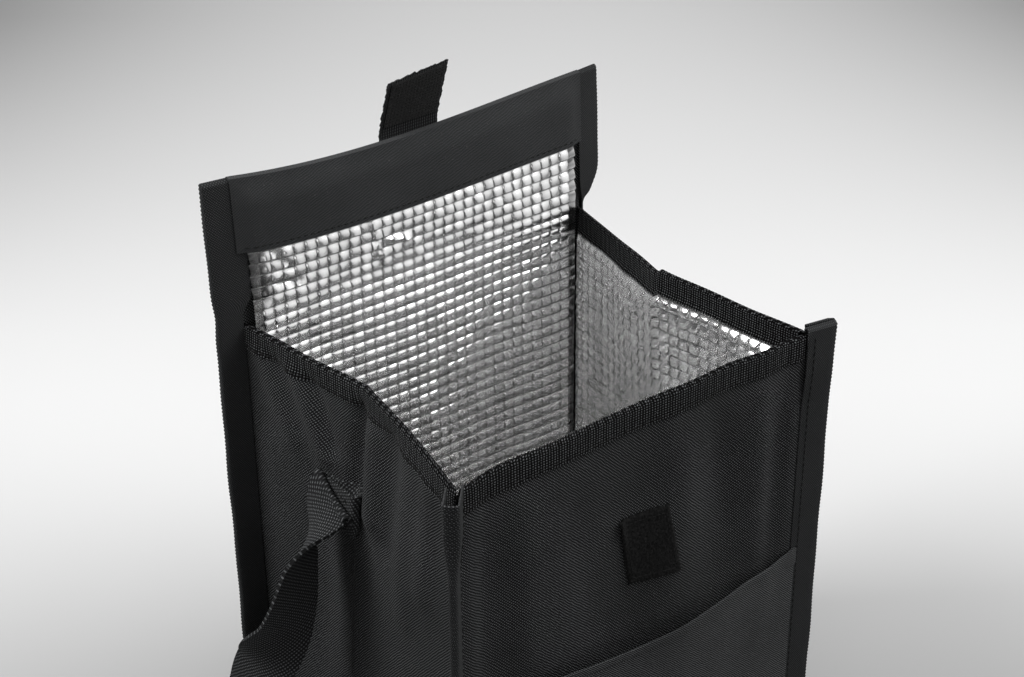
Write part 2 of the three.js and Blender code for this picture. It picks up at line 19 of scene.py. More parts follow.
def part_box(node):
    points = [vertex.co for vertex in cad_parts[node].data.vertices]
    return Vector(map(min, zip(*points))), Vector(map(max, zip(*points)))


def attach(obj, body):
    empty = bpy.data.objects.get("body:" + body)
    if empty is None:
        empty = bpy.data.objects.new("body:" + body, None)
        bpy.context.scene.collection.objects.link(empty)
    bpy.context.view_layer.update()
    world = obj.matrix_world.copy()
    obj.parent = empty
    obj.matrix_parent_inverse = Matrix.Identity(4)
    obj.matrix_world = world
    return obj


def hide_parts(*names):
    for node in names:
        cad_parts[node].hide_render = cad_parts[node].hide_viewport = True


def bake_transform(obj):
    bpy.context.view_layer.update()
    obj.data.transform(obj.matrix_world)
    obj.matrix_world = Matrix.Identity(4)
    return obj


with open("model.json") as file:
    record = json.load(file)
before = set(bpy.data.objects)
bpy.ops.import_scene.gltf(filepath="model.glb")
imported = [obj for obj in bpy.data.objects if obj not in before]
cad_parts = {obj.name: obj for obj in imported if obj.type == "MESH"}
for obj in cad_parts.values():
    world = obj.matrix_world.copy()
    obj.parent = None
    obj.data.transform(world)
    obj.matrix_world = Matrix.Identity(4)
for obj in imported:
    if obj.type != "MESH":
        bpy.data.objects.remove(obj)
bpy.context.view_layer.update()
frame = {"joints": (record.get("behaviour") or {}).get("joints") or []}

# %% [markdown]
# ## Sizes
# Most sizes are read from the CAD nodes and joints, so the cloth follows the frame. Sizes that no box shows,
# such as the depth of the gussets' crease, repeat the values of the CAD source.

# %% Sizes from the frame
MM = 0.001
JOINTS = {joint["name"]: joint for joint in frame["joints"]}
HALF_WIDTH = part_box("pocket_panel")[1].x
HALF_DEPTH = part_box("back_panel")[1].y
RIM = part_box("front_panel")[1].z
FOLD_Y, FOLD_Z = JOINTS["flap_fold"]["pos_m"][1:]
TAB_Y, TAB_Z = JOINTS["tab_fold"]["pos_m"][1:]
SWING_Y, SWING_Z = JOINTS["handle_swing"]["pos_m"][1:]
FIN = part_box("front_right_binding")[1].x - HALF_WIDTH
SHELL = 0.7 * MM
FOAM_DEPTH = 0.9 * MM
FOAM = 2 * MM
FOIL_DEPTH = 3.1 * MM
FOIL = 0.4 * MM
WALL = FOIL_DEPTH + FOIL
TAPE = 0.6 * MM
RIM_TAPE = 9.5 * MM
FLAP_HEIGHT = 55.5 * MM
FLAP_LEAN = math.radians(2.4)
print("bag", HALF_WIDTH * 2, HALF_DEPTH * 2, RIM, "fold", FOLD_Z, "fin", FIN)

# %% [markdown]
# ## Camera
# The camera was fitted to the rim, the seams and the flap's corners in the photograph: azimuth -37 degrees,
# 30 degrees above the horizon, with a small roll and a 70 mm lens. Standing it up from those angles keeps the
# numbers readable, where a bare rotation matrix would not.

# %% Camera at the photograph's viewing angle
CAMERA_AT = Vector((-0.4003, -0.5232, 0.6055))
CAMERA_AZIMUTH = math.radians(-37.02)
CAMERA_ELEVATION = math.radians(29.94)
CAMERA_ROLL = math.radians(-0.536)
camera = bpy.data.objects.new("camera", bpy.data.cameras.new("camera"))
camera.data.lens = 70.0
camera.data.sensor_width = 36.0
camera.data.sensor_fit = "HORIZONTAL"
camera.data.clip_start = 0.05
turn_up = Matrix.Rotation(math.pi / 2 - CAMERA_ELEVATION, 4, "X")
turn_round = Matrix.Rotation(CAMERA_AZIMUTH, 4, "Z")
tilt = Matrix.Rotation(CAMERA_ROLL, 4, "Z")
camera.matrix_world = Matrix.Translation(CAMERA_AT) @ turn_round @ turn_up @ tilt
bpy.context.scene.collection.objects.link(camera)
bpy.context.scene.camera = camera
print("camera looks along", [round(c, 3) for c in camera.matrix_world.to_3x3() @ Vector((0, 0, -1))])

# %% [markdown]
# ## Shared effects as node groups
# Woven cloth, tape and webbing differ in thread size and in slant, not in kind, so one group makes the weave
# for all of them. It reads the piece's own UV map, which is laid out in metres along the cloth, so the
# threads follow every fold and keep their size. A second group gives the slow unevenness and the lint of
# dark cloth.


# %% Node helpers and the weave and lint groups
def new_group(name, inputs, outputs):
    group = bpy.data.node_groups.new(name, "ShaderNodeTree")
    for label, kind, value in inputs:
        socket = group.interface.new_socket(label, in_out="INPUT", socket_type=kind)
        if value is not None:
            socket.default_value = value
    for label, kind in outputs:
        group.interface.new_socket(label, in_out="OUTPUT", socket_type=kind)
    return group, group.nodes.new("NodeGroupInput").outputs, group.nodes.new("NodeGroupOutput").inputs


def feed(tree, socket, value):
    if isinstance(value, bpy.types.NodeSocket):
        tree.links.new(value, socket)
    else:
        socket.default_value = value


def calc(tree, operation, first, second=0.0, third=0.0):
    node = tree.nodes.new("ShaderNodeMath")
    node.operation = operation
    for socket, value in zip(node.inputs, (first, second, third)):
        feed(tree, socket, value)
    return node.outputs[0]


def noise(tree, vector, scale, detail=2.0):
    node = tree.nodes.new("ShaderNodeTexNoise")
    feed(tree, node.inputs["Vector"], vector)
    feed(tree, node.inputs["Scale"], scale)
    node.inputs["Detail"].default_value = detail
    return node.outputs["Fac"]


def ramp(tree, value, low, high, dark=0.0, light=1.0):
    node = tree.nodes.new("ShaderNodeMapRange")
    feed(tree, node.inputs["Value"], value)
    for label, bound in (("From Min", low), ("From Max", high), ("To Min", dark), ("To Max", light)):
        feed(tree, node.inputs[label], bound)
    return node.outputs["Result"]


def wave(tree, turns):
    """A wave from 0 to 1, one for each whole turn."""
    return ramp(tree, calc(tree, "SINE", calc(tree, "MULTIPLY", turns, 2 * math.pi)), -1.0, 1.0)


WANDER_SCALE = 260.0
WANDER = 0.5
RIB_FULLNESS = 0.7
CROWN_START = 0.25


def make_weave():
    inputs = [("Vector", "NodeSocketVector", None), ("Pitch", "NodeSocketFloat", 0.001),
              ("Slant", "NodeSocketFloat", 1.0), ("Break", "NodeSocketFloat", 0.5)]
    outputs = [("Height", "NodeSocketFloat"), ("Crown", "NodeSocketFloat")]
    group, given, put = new_group("weave", inputs, outputs)
    parts = group.nodes.new("ShaderNodeSeparateXYZ")
    feed(group, parts.inputs[0], given["Vector"])
    drift = noise(group, given["Vector"], scale=WANDER_SCALE)
    wander = calc(group, "MULTIPLY", calc(group, "SUBTRACT", drift, 0.5), WANDER)
    u = calc(group, "ADD", calc(group, "DIVIDE", parts.outputs[0], given["Pitch"]), wander)
    v = calc(group, "ADD", calc(group, "DIVIDE", parts.outputs[1], given["Pitch"]), wander)
    rib = wave(group, calc(group, "MULTIPLY_ADD", v, given["Slant"], u))
    lifted = wave(group, calc(group, "SUBTRACT", v, calc(group, "MULTIPLY", u, given["Slant"])))
    low = calc(group, "SUBTRACT", 1.0, given["Break"])
    full_rib = calc(group, "POWER", rib, RIB_FULLNESS)
    height = calc(group, "MULTIPLY", full_rib, ramp(group, lifted, 0.0, 1.0, dark=low, light=1.0))
    feed(group, put["Height"], height)
    feed(group, put["Crown"], calc(group, "POWER", ramp(group, height, CROWN_START, 1.0), 2.0))
    return group


def make_lint():
    inputs = [("Vector", "NodeSocketVector", None), ("Specks", "NodeSocketFloat", 0.5)]
    group, given, put = new_group("lint", inputs, [("Tone", "NodeSocketFloat"), ("Speck", "NodeSocketFloat")])
    tone = ramp(group, noise(group, given["Vector"], scale=26.0, detail=4.0), low=0.3, high=0.7)
    speck = ramp(group, noise(group, given["Vector"], scale=1500.0, detail=1.0), low=0.72, high=0.8)
    feed(group, put["Tone"], tone)
    feed(group, put["Speck"], calc(group, "MULTIPLY", speck, given["Specks"]))
    return group


WEAVE = make_weave()
LINT = make_lint()
print("groups", [group.name for group in bpy.data.node_groups])

# %% [markdown]
# ## Cloth materials
# The walls are a matte black twill: fine slanted ribs whose crowns catch a little light. The tape on the rim
# is a coarser weave of upright beads, the tape on the fins a calmer one, and the webbing lies between them.
# Each is one Principled shader with the weave in its colour, its roughness and its bump; in the colour, a
# highlight is painted on the crowns and shade in the valleys. The numbers that don't change over the surface
# sit on the shader's own sockets.


# %% Woven materials
def new_material(name):
    material = bpy.data.materials.new(name)
    material.use_nodes = True
    tree = material.node_tree
    shader = tree.nodes["Principled BSDF"]
    return material, tree, shader


def add_group(tree, group, **values):
    node = tree.nodes.new("ShaderNodeGroup")
    node.node_tree = group
    for label, value in values.items():
        feed(tree, node.inputs[label], value)
    return node.outputs


def mixed(tree, share, first, second):
    node = tree.nodes.new("ShaderNodeMix")
    node.data_type = "RGBA"
    for label, value in (("Factor", share), ("A", first), ("B", second)):
        feed(tree, node.inputs[label], value)
    return node.outputs["Result"]


def grey(level, warmth=0.0):
    return (level * (1 + warmth), level, level * (1 - warmth), 1.0)


def bump(tree, height, distance, strength):
    node = tree.nodes.new("ShaderNodeBump")
    node.inputs["Distance"].default_value = distance
    node.inputs["Strength"].default_value = strength
    feed(tree, node.inputs["Height"], height)
    return node.outputs["Normal"]


DYE_WARMTH = -0.03
SPECKS = 0.4
LINT_GAIN = 2.2
# The dimmest share of the highlight painted on the thread crowns.
DIMMEST_HIGHLIGHT = 0.65
VALLEY_ROUGHNESS = 0.97


def woven(name, shade_and_highlight, pitch, slant, breaks, depth, roughness, sheen=0.01):
    """Cloth from the painted shade in its valleys and the painted highlight on its crowns, its thread pitch,
    the slant of its ribs, how far the ribs are broken up into beads, their depth, and the crowns' roughness."""
    dark, light = shade_and_highlight
    material, tree, shader = new_material(name)
    place = tree.nodes.new("ShaderNodeTexCoord").outputs["UV"]
    threads = add_group(tree, WEAVE, Vector=place, Pitch=pitch, Slant=slant, Break=breaks)
    fluff = add_group(tree, LINT, Vector=place, Specks=SPECKS)
    # A highlight is painted on the thread crowns, unevenly bright, and shade in the valleys between them.
    uneven_highlight = ramp(tree, fluff["Tone"], 0.0, 1.0, dark=DIMMEST_HIGHLIGHT, light=1.0)
    crown = calc(tree, "MULTIPLY", threads["Crown"], uneven_highlight)
    colour = mixed(tree, crown, grey(dark, DYE_WARMTH), grey(light, DYE_WARMTH))
    feed(tree, shader.inputs["Base Color"], mixed(tree, fluff["Speck"], colour, grey(light * LINT_GAIN)))
    rough = ramp(tree, threads["Crown"], 0.0, 1.0, dark=VALLEY_ROUGHNESS, light=roughness)
    feed(tree, shader.inputs["Roughness"], rough)
    feed(tree, shader.inputs["Normal"], bump(tree, threads["Height"], depth, strength=0.8))
    shader.inputs["Specular IOR Level"].default_value = 0.08
    shader.inputs["Sheen Weight"].default_value = sheen
    shader.inputs["Sheen Roughness"].default_value = 0.5
    return material


# Each pair of tones is the painted valley shade and the painted crown highlight of that cloth.
TWILL = woven("shell_twill", (0.007, 0.165), pitch=1.3 * MM, slant=1.0, breaks=0.7, depth=0.36 * MM,
              roughness=0.62)
POCKET_TWILL = woven("pocket_twill", (0.008, 0.17), pitch=1.1 * MM, slant=1.0, breaks=0.4, depth=0.2 * MM,
                     roughness=0.66, sheen=0.02)
FACING = woven("facing_rib", (0.01, 0.11), pitch=1.0 * MM, slant=1.6, breaks=0.3, depth=0.16 * MM,
               roughness=0.65, sheen=0.02)
BINDING = woven("binding_weave", (0.0008, 0.17), pitch=1.6 * MM, slant=0.0, breaks=1.0, depth=0.6 * MM,
                roughness=0.6)
FIN_BINDING = woven("fin_weave", (0.012, 0.085), pitch=1.2 * MM, slant=1.0, breaks=0.6, depth=0.16 * MM,
                    roughness=0.72)
WEBBING = woven("webbing_weave", (0.01, 0.14), pitch=1.4 * MM, slant=0.5, breaks=0.6, depth=0.2 * MM,
                roughness=0.66)
TAB_RIB = woven("tab_rib", (0.003, 0.04), pitch=1.1 * MM, slant=0.0, breaks=0.4, depth=0.25 * MM,
                roughness=0.8)
print("woven", [material.name for material in bpy.data.materials])

# %% [markdown]
# ## Foil, foam, pile and thread
# The lining is a metallised film: a metal shader, with a fine crinkle as bump over the squares that are real
# geometry. Shade is painted into the film's colour on its pressed lines, and a dark reflection of the flap's
# left tape beside it, by an attribute that each lining carries on its points. Foam is pale and open-pored.
# Hook and loop tape is black with a scattered nap. Thread is a plain dark yarn.


# %% Other materials
# Painted shade in the film's colour: on the pressed lines, and a painted dark reflection beside the flap's
# left tape.
PAINTED_SHADE = "PaintedShade"


def make_foil():
    material, tree, shader = new_material("foil_film")
    place = tree.nodes.new("ShaderNodeTexCoord").outputs["UV"]
    cloud = noise(tree, place, scale=90.0, detail=3.0)
    crinkle = noise(tree, place, scale=600.0, detail=3.0)
    # The attribute darkens the colour: painted shade on the pressed lines and a painted reflection of the
    # dark tape.
    painted_shade = tree.nodes.new("ShaderNodeAttribute")
    painted_shade.attribute_name = PAINTED_SHADE
    bright = mixed(tree, cloud, grey(0.62), grey(0.76))
    feed(tree, shader.inputs["Base Color"], mixed(tree, painted_shade.outputs["Fac"], bright, grey(0.1)))
    feed(tree, shader.inputs["Roughness"], ramp(tree, cloud, 0.3, 0.7, dark=0.17, light=0.27))
    feed(tree, shader.inputs["Normal"], bump(tree, crinkle, distance=0.03 * MM, strength=0.25))
    shader.inputs["Metallic"].default_value = 1.0
    return material


def make_foam():
    material, tree, shader = new_material("padding_foam")
    place = tree.nodes.new("ShaderNodeTexCoord").outputs["Object"]
    pores = noise(tree, place, scale=1400.0, detail=3.0)
    feed(tree, shader.inputs["Base Color"], mixed(tree, pores, grey(0.62), grey(0.85)))
    feed(tree, shader.inputs["Normal"], bump(tree, pores, distance=0.3 * MM, strength=0.6))
    shader.inputs["Roughness"].default_value = 0.95
    return material


def make_nap(name, dark, light, scale):
    material, tree, shader = new_material(name)
    place = tree.nodes.new("ShaderNodeTexCoord").outputs["Object"]
    nap = noise(tree, place, scale, detail=5.0)
    feed(tree, shader.inputs["Base Color"], mixed(tree, ramp(tree, nap, 0.4, 0.75), grey(dark), grey(light)))
    feed(tree, shader.inputs["Normal"], bump(tree, nap, distance=0.6 * MM, strength=0.9))
    shader.inputs["Roughness"].default_value = 0.95
    shader.inputs["Specular IOR Level"].default_value = 0.2
    return material


def make_thread():
    material, tree, shader = new_material("sewing_thread")
    place = tree.nodes.new("ShaderNodeTexCoord").outputs["Object"]
    twist = noise(tree, place, scale=2600.0, detail=1.0)
    feed(tree, shader.inputs["Base Color"], mixed(tree, twist, grey(0.002), grey(0.012)))
    shader.inputs["Roughness"].default_value = 0.85
    shader.inputs["Specular IOR Level"].default_value = 0.15
    return material


FOIL_FILM = make_foil()
PAD_FOAM = make_foam()
LOOP_PILE = make_nap("loop_pile", dark=0.0004, light=0.01, scale=1100.0)
HOOK_TAPE = make_nap("hook_tape", dark=0.006, light=0.02, scale=2200.0)
THREAD = make_thread()
print("materials", len(bpy.data.materials))

# %% [markdown]
# ## Laying cloth
# Every soft piece starts as a flat grid, like cloth on a cutting table, and a place function then says where
# each point of the cloth goes. That keeps the cloth one continuous sheet with a UV map in metres, which
# separate plates would not be. A Solidify modifier gives it its thickness and is applied at once, so that
# what rides on a body is the finished mesh.


# %% Cloth helpers
def spread(first, last, count):
    return np.linspace(first, last, count + 1)


def stretches(*parts):
    """One line over several stretches that follow on from each other: first, last and count of each."""
    lines = [spread(*part) for part in parts]
    return np.concatenate([line[:-1] for line in lines[:-1]] + lines[-1:])


def along(line):
    """Length along a line of points, from its first point."""
    return np.concatenate([[0.0], np.cumsum(np.linalg.norm(np.diff(line, axis=0), axis=1))])


def lay_cloth(name, columns, rows, place, grain=1.0):
    """A sheet over columns and rows; place(u, v) gives x, y and z. Its face looks along du x dv."""
    bm = bmesh.new()
    bmesh.ops.create_grid(bm, x_segments=len(columns) - 1, y_segments=len(rows) - 1, size=0.5)
    mesh = bpy.data.meshes.new(name)
    bm.to_mesh(mesh)
    bm.free()
    u, v = np.meshgrid(columns, rows)
    points = np.stack(np.broadcast_arrays(*place(u, v)), axis=-1)
    mesh.vertices.foreach_set("co", points.astype(np.float32).ravel())
    across = grain * along(points[len(rows) // 2])
    up = along(points[:, len(columns) // 2])
    layout = np.stack(np.meshgrid(across, up), axis=-1).reshape(-1, 2)
    corners = np.zeros(len(mesh.loops), np.int32)
    mesh.loops.foreach_get("vertex_index", corners)
    mesh.uv_layers.new(name="Cloth").data.foreach_set("uv", layout[corners].astype(np.float32).ravel())
    piece = bpy.data.objects.new(name, mesh)
    bpy.context.scene.collection.objects.link(piece)
    return piece


def thicken(piece, thickness, offset=-1.0):
    """Gives a sheet its thickness, and makes that the piece's own mesh."""
    solid = piece.modifiers.new("thickness", "SOLIDIFY")
    solid.thickness = thickness
    solid.offset = offset
    solid.use_even_offset = False
    graph = bpy.context.evaluated_depsgraph_get()
    mesh = bpy.data.meshes.new_from_object(piece.evaluated_get(graph))
    piece.modifiers.clear()
    piece.data = mesh
    return piece


SHARP_ANGLE = math.radians(55)
PRESSED_ANGLE = math.radians(30)


def dress(piece, material, nodes=(), sharp=SHARP_ANGLE):
    piece.data.materials.clear()
    piece.data.materials.append(material)
    piece.data.shade_smooth()
    piece.data.set_sharp_from_angle(angle=sharp)
    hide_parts(*nodes)
    print(f"{piece.name}: {len(piece.data.polygons)} faces, {material.name}")
    return piece


def smooth(t):
    t = np.clip(t, 0.0, 1.0)
    return t * t * (3 - 2 * t)


def bell(offset, width):
    """1 where there is no offset, fading to nothing at about twice the width."""
    return np.exp(-(offset / width) ** 2)


def soft_fold(a, b, start, end, width):
    """How much of a soft fold that runs from start to end is felt at (a, b): 1 on its line."""
    run = np.subtract(end, start)
    share = np.clip(((a - start[0]) * run[0] + (b - start[1]) * run[1]) / (run @ run), 0, 1)
    away = (a - start[0] - share * run[0]) ** 2 + (b - start[1] - share * run[1]) ** 2
    return np.exp(-away / width**2)


def folded(a, b, folds):
    """All soft folds of a wall together. Folds are in millimetres: start, end, width, height."""
    total = np.zeros(np.broadcast(a, b).shape)
    for start, end, width, height in folds:
        total += height * soft_fold(a / MM, b / MM, start, end, width)
    return total * MM


# %% [markdown]
# ## The shape of the walls
# All layers of one wall share one shape, so twill, foam and foil never cut through each other. The gussets
# are pushed in along a crease that fades towards the floor, with drawn folds from the rim to the handle. The
# front has a few soft hollows, and the flap bows forward and sags between its stiff side tapes.

# %% Wall shapes
CREASE_DEPTH = 11 * MM
CREASE_Y = 4 * MM
CREASE_FOOT = 60 * MM
CREASE_SOFTNESS = 0.02
FLAT_EDGE = HALF_DEPTH - WALL
RIM_TAPE_FOOT = RIM - RIM_TAPE
FRONT_FREE = HALF_WIDTH - WALL - TAPE - 0.6 * MM
FRONT_HOLLOWS = np.array([
    (-1, 0), (-0.89, 2), (-0.6, 0), (-0.08, 2.4), (0.26, 0), (0.53, 2.2), (0.78, 0), (0.91, 1.4), (1, 0),
])
HOLLOW_FOOT = 122 * MM
HOLLOW_FULL = 82 * MM
HOLLOW_AT_RIM = 0.5
HOLLOW_GAIN = 1.3
SEAM_STIFFNESS = 9 * MM
FOOT_STIFFNESS = 40 * MM
FRONT_FOLDS = [
    ((-30, 200), (-18, 140), 7, -0.9),
    ((14, 222), (24, 170), 7, 0.8),
    ((37, 214), (46, 160), 6, -0.9),
    ((60, 218), (62, 140), 6, 0.9),
    ((-56, 216), (-52, 140), 6, 0.8),
]
LEFT_FOLDS = [
    ((42, 224), (24, 192), 4.5, 3.0),
    ((32, 224), (21, 196), 3.5, -2.2),
    ((52, 224), (34, 180), 4.5, -1.8),
    ((62, 224), (44, 190), 4.5, 1.6),
    ((4, 224), (8, 184), 4.0, -3.5),
    ((-6, 216), (-4, 178), 6, 3.2),
    ((-21, 222), (-16, 170), 6, -2.6),
    ((-36, 222), (-30, 150), 7, 2.0),
    ((-50, 218), (-46, 170), 6, 2.0),
    ((3, 164), (4, 70), 4, 2.4),
    ((24, 160), (30, 90), 8, -1.5),
    ((-38, 176), (-36, 168), 22, 2.4),
    ((52, 174), (52, 168), 14, 1.2),
]
RIGHT_FOLDS = [
    ((26, 218), (22, 188), 5, -1.0),
    ((44, 216), (40, 120), 9, 1.1),
    ((-24, 216), (-18, 150), 8, 0.9),
    ((-48, 210), (-44, 90), 9, -1.0),
]
BACK_FOLDS = [
    ((-50, 210), (-38, 90), 18, 0.9),
    ((-8, 225), (2, 120), 18, -0.7),
    ((40, 215), (30, 70), 18, 0.8),
    ((66, 200), (62, 60), 12, -0.5),
]


def front_hollow(x, z):
    """The hollows of the CAD's front, with rounded ridges, shallower at the taut rim and deeper below it."""
    share = np.clip(x / FRONT_FREE, -1, 1)
    places, depths = FRONT_HOLLOWS.T
    k = np.clip(np.searchsorted(places, share) - 1, 0, len(places) - 2)
    part = smooth((share - places[k]) / (places[k + 1] - places[k]))
    across = depths[k] + (depths[k + 1] - depths[k]) * part
    taut = HOLLOW_AT_RIM + HOLLOW_GAIN * smooth((RIM - 8 * MM - z) / (38 * MM))
    return across * MM * taut * smooth((z - RIM + HOLLOW_FOOT) / (HOLLOW_FOOT - HOLLOW_FULL))


def front_swell(x, z):
    """How far the front stands out of its flat plane."""
    inside = smooth((HALF_WIDTH - np.abs(x)) / (7 * MM)) * smooth((RIM_TAPE_FOOT + 5 * MM - z) / (14 * MM))
    return folded(x, z, FRONT_FOLDS) * inside - front_hollow(x, z)


def back_swell(x, z):
    inside = smooth((HALF_WIDTH - np.abs(x)) / SEAM_STIFFNESS) * smooth(z / FOOT_STIFFNESS)
    return folded(x, z, BACK_FOLDS) * inside * smooth((FOLD_Z - z) / (25 * MM))


def gusset_shift(y, z, side):
    """How far a gusset is pushed in from its flat plane."""
    half = np.where(y < CREASE_Y, CREASE_Y + FLAT_EDGE, FLAT_EDGE - CREASE_Y)
    away = np.abs(y - CREASE_Y) / half
    soft = np.hypot(away, CREASE_SOFTNESS) - CREASE_SOFTNESS
    across = np.clip(1 - soft / (math.hypot(1, CREASE_SOFTNESS) - CREASE_SOFTNESS), 0, 1)
    up = np.clip((z - CREASE_FOOT) / (RIM - RIM_TAPE - CREASE_FOOT), 0, 1)
    shift = CREASE_DEPTH * across * up
    inside = smooth((HALF_DEPTH - np.abs(y)) / SEAM_STIFFNESS) * smooth(z / FOOT_STIFFNESS)
    below_tape = smooth((RIM - z) / (1.5 * RIM_TAPE))
    return shift - folded(y, z, LEFT_FOLDS if side < 0 else RIGHT_FOLDS) * inside * below_tape


RIM_SQUEEZE = 0.5
RIM_WAVE = 0.3 * MM
CORNER_DIP = 3.3 * MM
FLAP_ROOM = 0.9 * MM
FLAP_ROOM_Y = 32 * MM
CREASE_DIPS = {-1: 0.6 * MM, 1: 1.0 * MM}
CREASE_STEPS = {-1: 0.9 * MM, 1: 2.0 * MM}
LEVEL_FOOT = 150 * MM


def squeezed(depth, z):
    """The layers of a wall are pressed thin in the binding of the rim."""
    tight = RIM_SQUEEZE * smooth((z - RIM_TAPE_FOOT + 3 * MM) / (6 * MM))
    return depth - np.maximum(depth, 0) * tight


def rim_level(along_rim, half, side):
    """How far the rim is above its height. It dips at the near corner, leaves room on the left for the closed
    flap, and at each crease it dips and then steps up. Side is -1 left, 0 in front and 1 right."""
    level = RIM_WAVE * np.sin(along_rim / (17 * MM) + 2 * side)
    if side < 0:
        level = level - FLAP_ROOM * bell(along_rim - FLAP_ROOM_Y, 18 * MM)
    if side <= 0:
        level = level - CORNER_DIP * bell(along_rim + half, 22 * MM)
    if side:
        level = level - CREASE_DIPS[side] * bell(along_rim - CREASE_Y, 13 * MM)
        before = np.maximum(CREASE_Y - along_rim, 0)
        level = level + CREASE_STEPS[side] * smooth(before / (2.5 * MM)) * np.exp(-before / (14 * MM))
    return level


def raised(z, along_rim, half, side):
    return z + rim_level(along_rim, half, side) * smooth((z - LEVEL_FOOT) / (RIM - LEVEL_FOOT))


def front_point(x, z, depth):
    return x, -HALF_DEPTH + squeezed(depth, z) - front_swell(x, z), raised(z, x, HALF_WIDTH, 0)


def side_point(side):
    def place(y, z, depth):
        x = side * (HALF_WIDTH - squeezed(depth, z) - gusset_shift(y, z, side))
        return x, y, raised(z, y, HALF_DEPTH, side)

    return place


FLAP_BOW = 3.4 * MM
FLAP_SAG = 2.6 * MM
FLAP_LOPSIDED = 7.0
FLAP_PRESS = 0.65


def flap_give(x, height):
    """How much of the flap's bow and sag is felt, strongest left of the middle of the top edge."""
    slack = np.clip(1 - (x / HALF_WIDTH) ** 2, 0, None) * (1 - FLAP_LOPSIDED * x)
    return slack * np.sin(math.pi / 2 * np.clip(height / FLAP_HEIGHT, 0, 1.2))


def flap_thinning(x, height):
    """The layers of the flap are pressed flat in the seams at its sides and its top."""
    sides = smooth((HALF_WIDTH - np.abs(x)) / (7 * MM))
    top = smooth((FLAP_HEIGHT + 2 * MM - height) / (12 * MM))
    return FLAP_PRESS * (1 - sides * top) * smooth(height / (12 * MM))


def flap_point(x, height, depth):
    give = flap_give(x, height)
    depth = depth - np.minimum(depth, WALL) * flap_thinning(x, height)
    up = height - FLAP_SAG * give
    y = FOLD_Y - depth * math.cos(FLAP_LEAN) + up * math.sin(FLAP_LEAN) - FLAP_BOW * give
    return x, y, FOLD_Z + depth * math.sin(FLAP_LEAN) + up * math.cos(FLAP_LEAN)


def back_point(x, run, depth):
    """A point of the back and, above the fold, of the flap: run is the length of cloth above the floor."""
    _, flap_y, flap_z = flap_point(x, np.maximum(run - FOLD_Z, 0), depth)
    above = run > FOLD_Z
    y = np.where(above, flap_y, HALF_DEPTH - depth + back_swell(x, run))
    return x, y, np.where(above, flap_z, run)


FOLD_FINE = 12 * MM
print("deepest crease", float(gusset_shift(np.array(CREASE_Y), np.array(RIM), 1) / MM), "mm")

# %% [markdown]
# ## Twill walls
# The front, the base and the two gussets are cut apart and sewn in the fins. The back is cut in one with the
# flap, so it is one sheet here too, and it bends over the fold. It is baked where it lies, on no body.

# %% How the fins stand
WALL_CELL = 2.5 * MM
GUSSET_CELL = 2 * MM
CLOTH_INSET = 2.5 * MM
CLOTH_REACH = HALF_WIDTH + FIN - CLOTH_INSET
FIN_CELLS = 4
WALL_TOP = RIM - 1.6 * MM
NEAR_FIN_TOP = RIM - 0.6 * MM
NEAR_CLOTH_TOP = NEAR_FIN_TOP - 5.5 * MM
BACK_BEND = 8.0
BACK_RIGHT_BEND = 42.0
FRONT_RIGHT_BEND = 10.0
NEAR_BEND = 30.0
NEAR_BEND_ABOVE = 18.0
LEFT_WAIST = 0.08
RIGHT_WAIST = 0.5


def cells(length, cell):
    return max(2, round(length / cell))


def fin_bend(side, face, z):
    """How far a fin leans out of its plane, in radians: most for the near one and, below the fold, for the
    back right one."""
    if face > 0:
        return np.radians(BACK_BEND + BACK_RIGHT_BEND * (side > 0) * smooth((FOLD_Z + 3 * MM - z) / (8 * MM)))
    if side > 0:
        return np.radians(FRONT_RIGHT_BEND) * np.ones_like(z)
    return np.radians(NEAR_BEND + NEAR_BEND_ABOVE * smooth(z / (120 * MM)))


def cloth_in_fin(side, face, z):
    """The cloth in the near fin stops lower than in the others, so that its tape ends open."""
    return z * NEAR_CLOTH_TOP / WALL_TOP if (side, face) == (-1, -1) else z


def fin_waist(side, run):
    """The back fins are pinched at the flap's fold, the right one hard."""
    return 1 - np.where(side > 0, RIGHT_WAIST, LEFT_WAIST) * bell(run - FOLD_Z, 7 * MM)


def lean(out, through, bend):
    """Out of the corner and through the fin, turned by its bend: how far to the side and to the face."""
    return out * np.cos(bend) - through * np.sin(bend), out * np.sin(bend) + through * np.cos(bend)


def into_fin(side, face, out, through, z):
    """A point in a fin: out from the corner, and through it from the bag's outer face (positive outward)."""
    aside, ahead = lean(out, through, fin_bend(side, face, z))
    return side * (HALF_WIDTH + aside), face * (HALF_DEPTH + ahead), z


def in_parts(before, after, first, middle, last):
    """A place that is first where before holds, last where after holds, and middle between them."""
    return [np.where(before, a, np.where(after, c, b)) for a, b, c in zip(first, middle, last)]


# %% Front, back and flap, gussets and base


def panel_with_fins(face, point):
    """A place function for a wall whose two sides run on into the fins."""

    def place(x, z):
        wall = point(np.clip(x, -HALF_WIDTH, HALF_WIDTH), z, 0.0)
        left = into_fin(-1, face, -HALF_WIDTH - x, 0.0, cloth_in_fin(-1, face, z))
        right = into_fin(1, face, x - HALF_WIDTH, 0.0, cloth_in_fin(1, face, z))
        return in_parts(x < -HALF_WIDTH, x > HALF_WIDTH, left, wall, right)

    return place


panel_columns = stretches(
    (-CLOTH_REACH, -HALF_WIDTH, FIN_CELLS),
    (-HALF_WIDTH, HALF_WIDTH, cells(2 * HALF_WIDTH, WALL_CELL)),
    (HALF_WIDTH, CLOTH_REACH, FIN_CELLS),
)
front_rows = spread(0, WALL_TOP, cells(RIM, WALL_CELL))
front = lay_cloth("front_cloth", panel_columns, front_rows, panel_with_fins(-1, front_point))
front = dress(thicken(front, SHELL), TWILL, ["front_panel"])
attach(front, "bag")

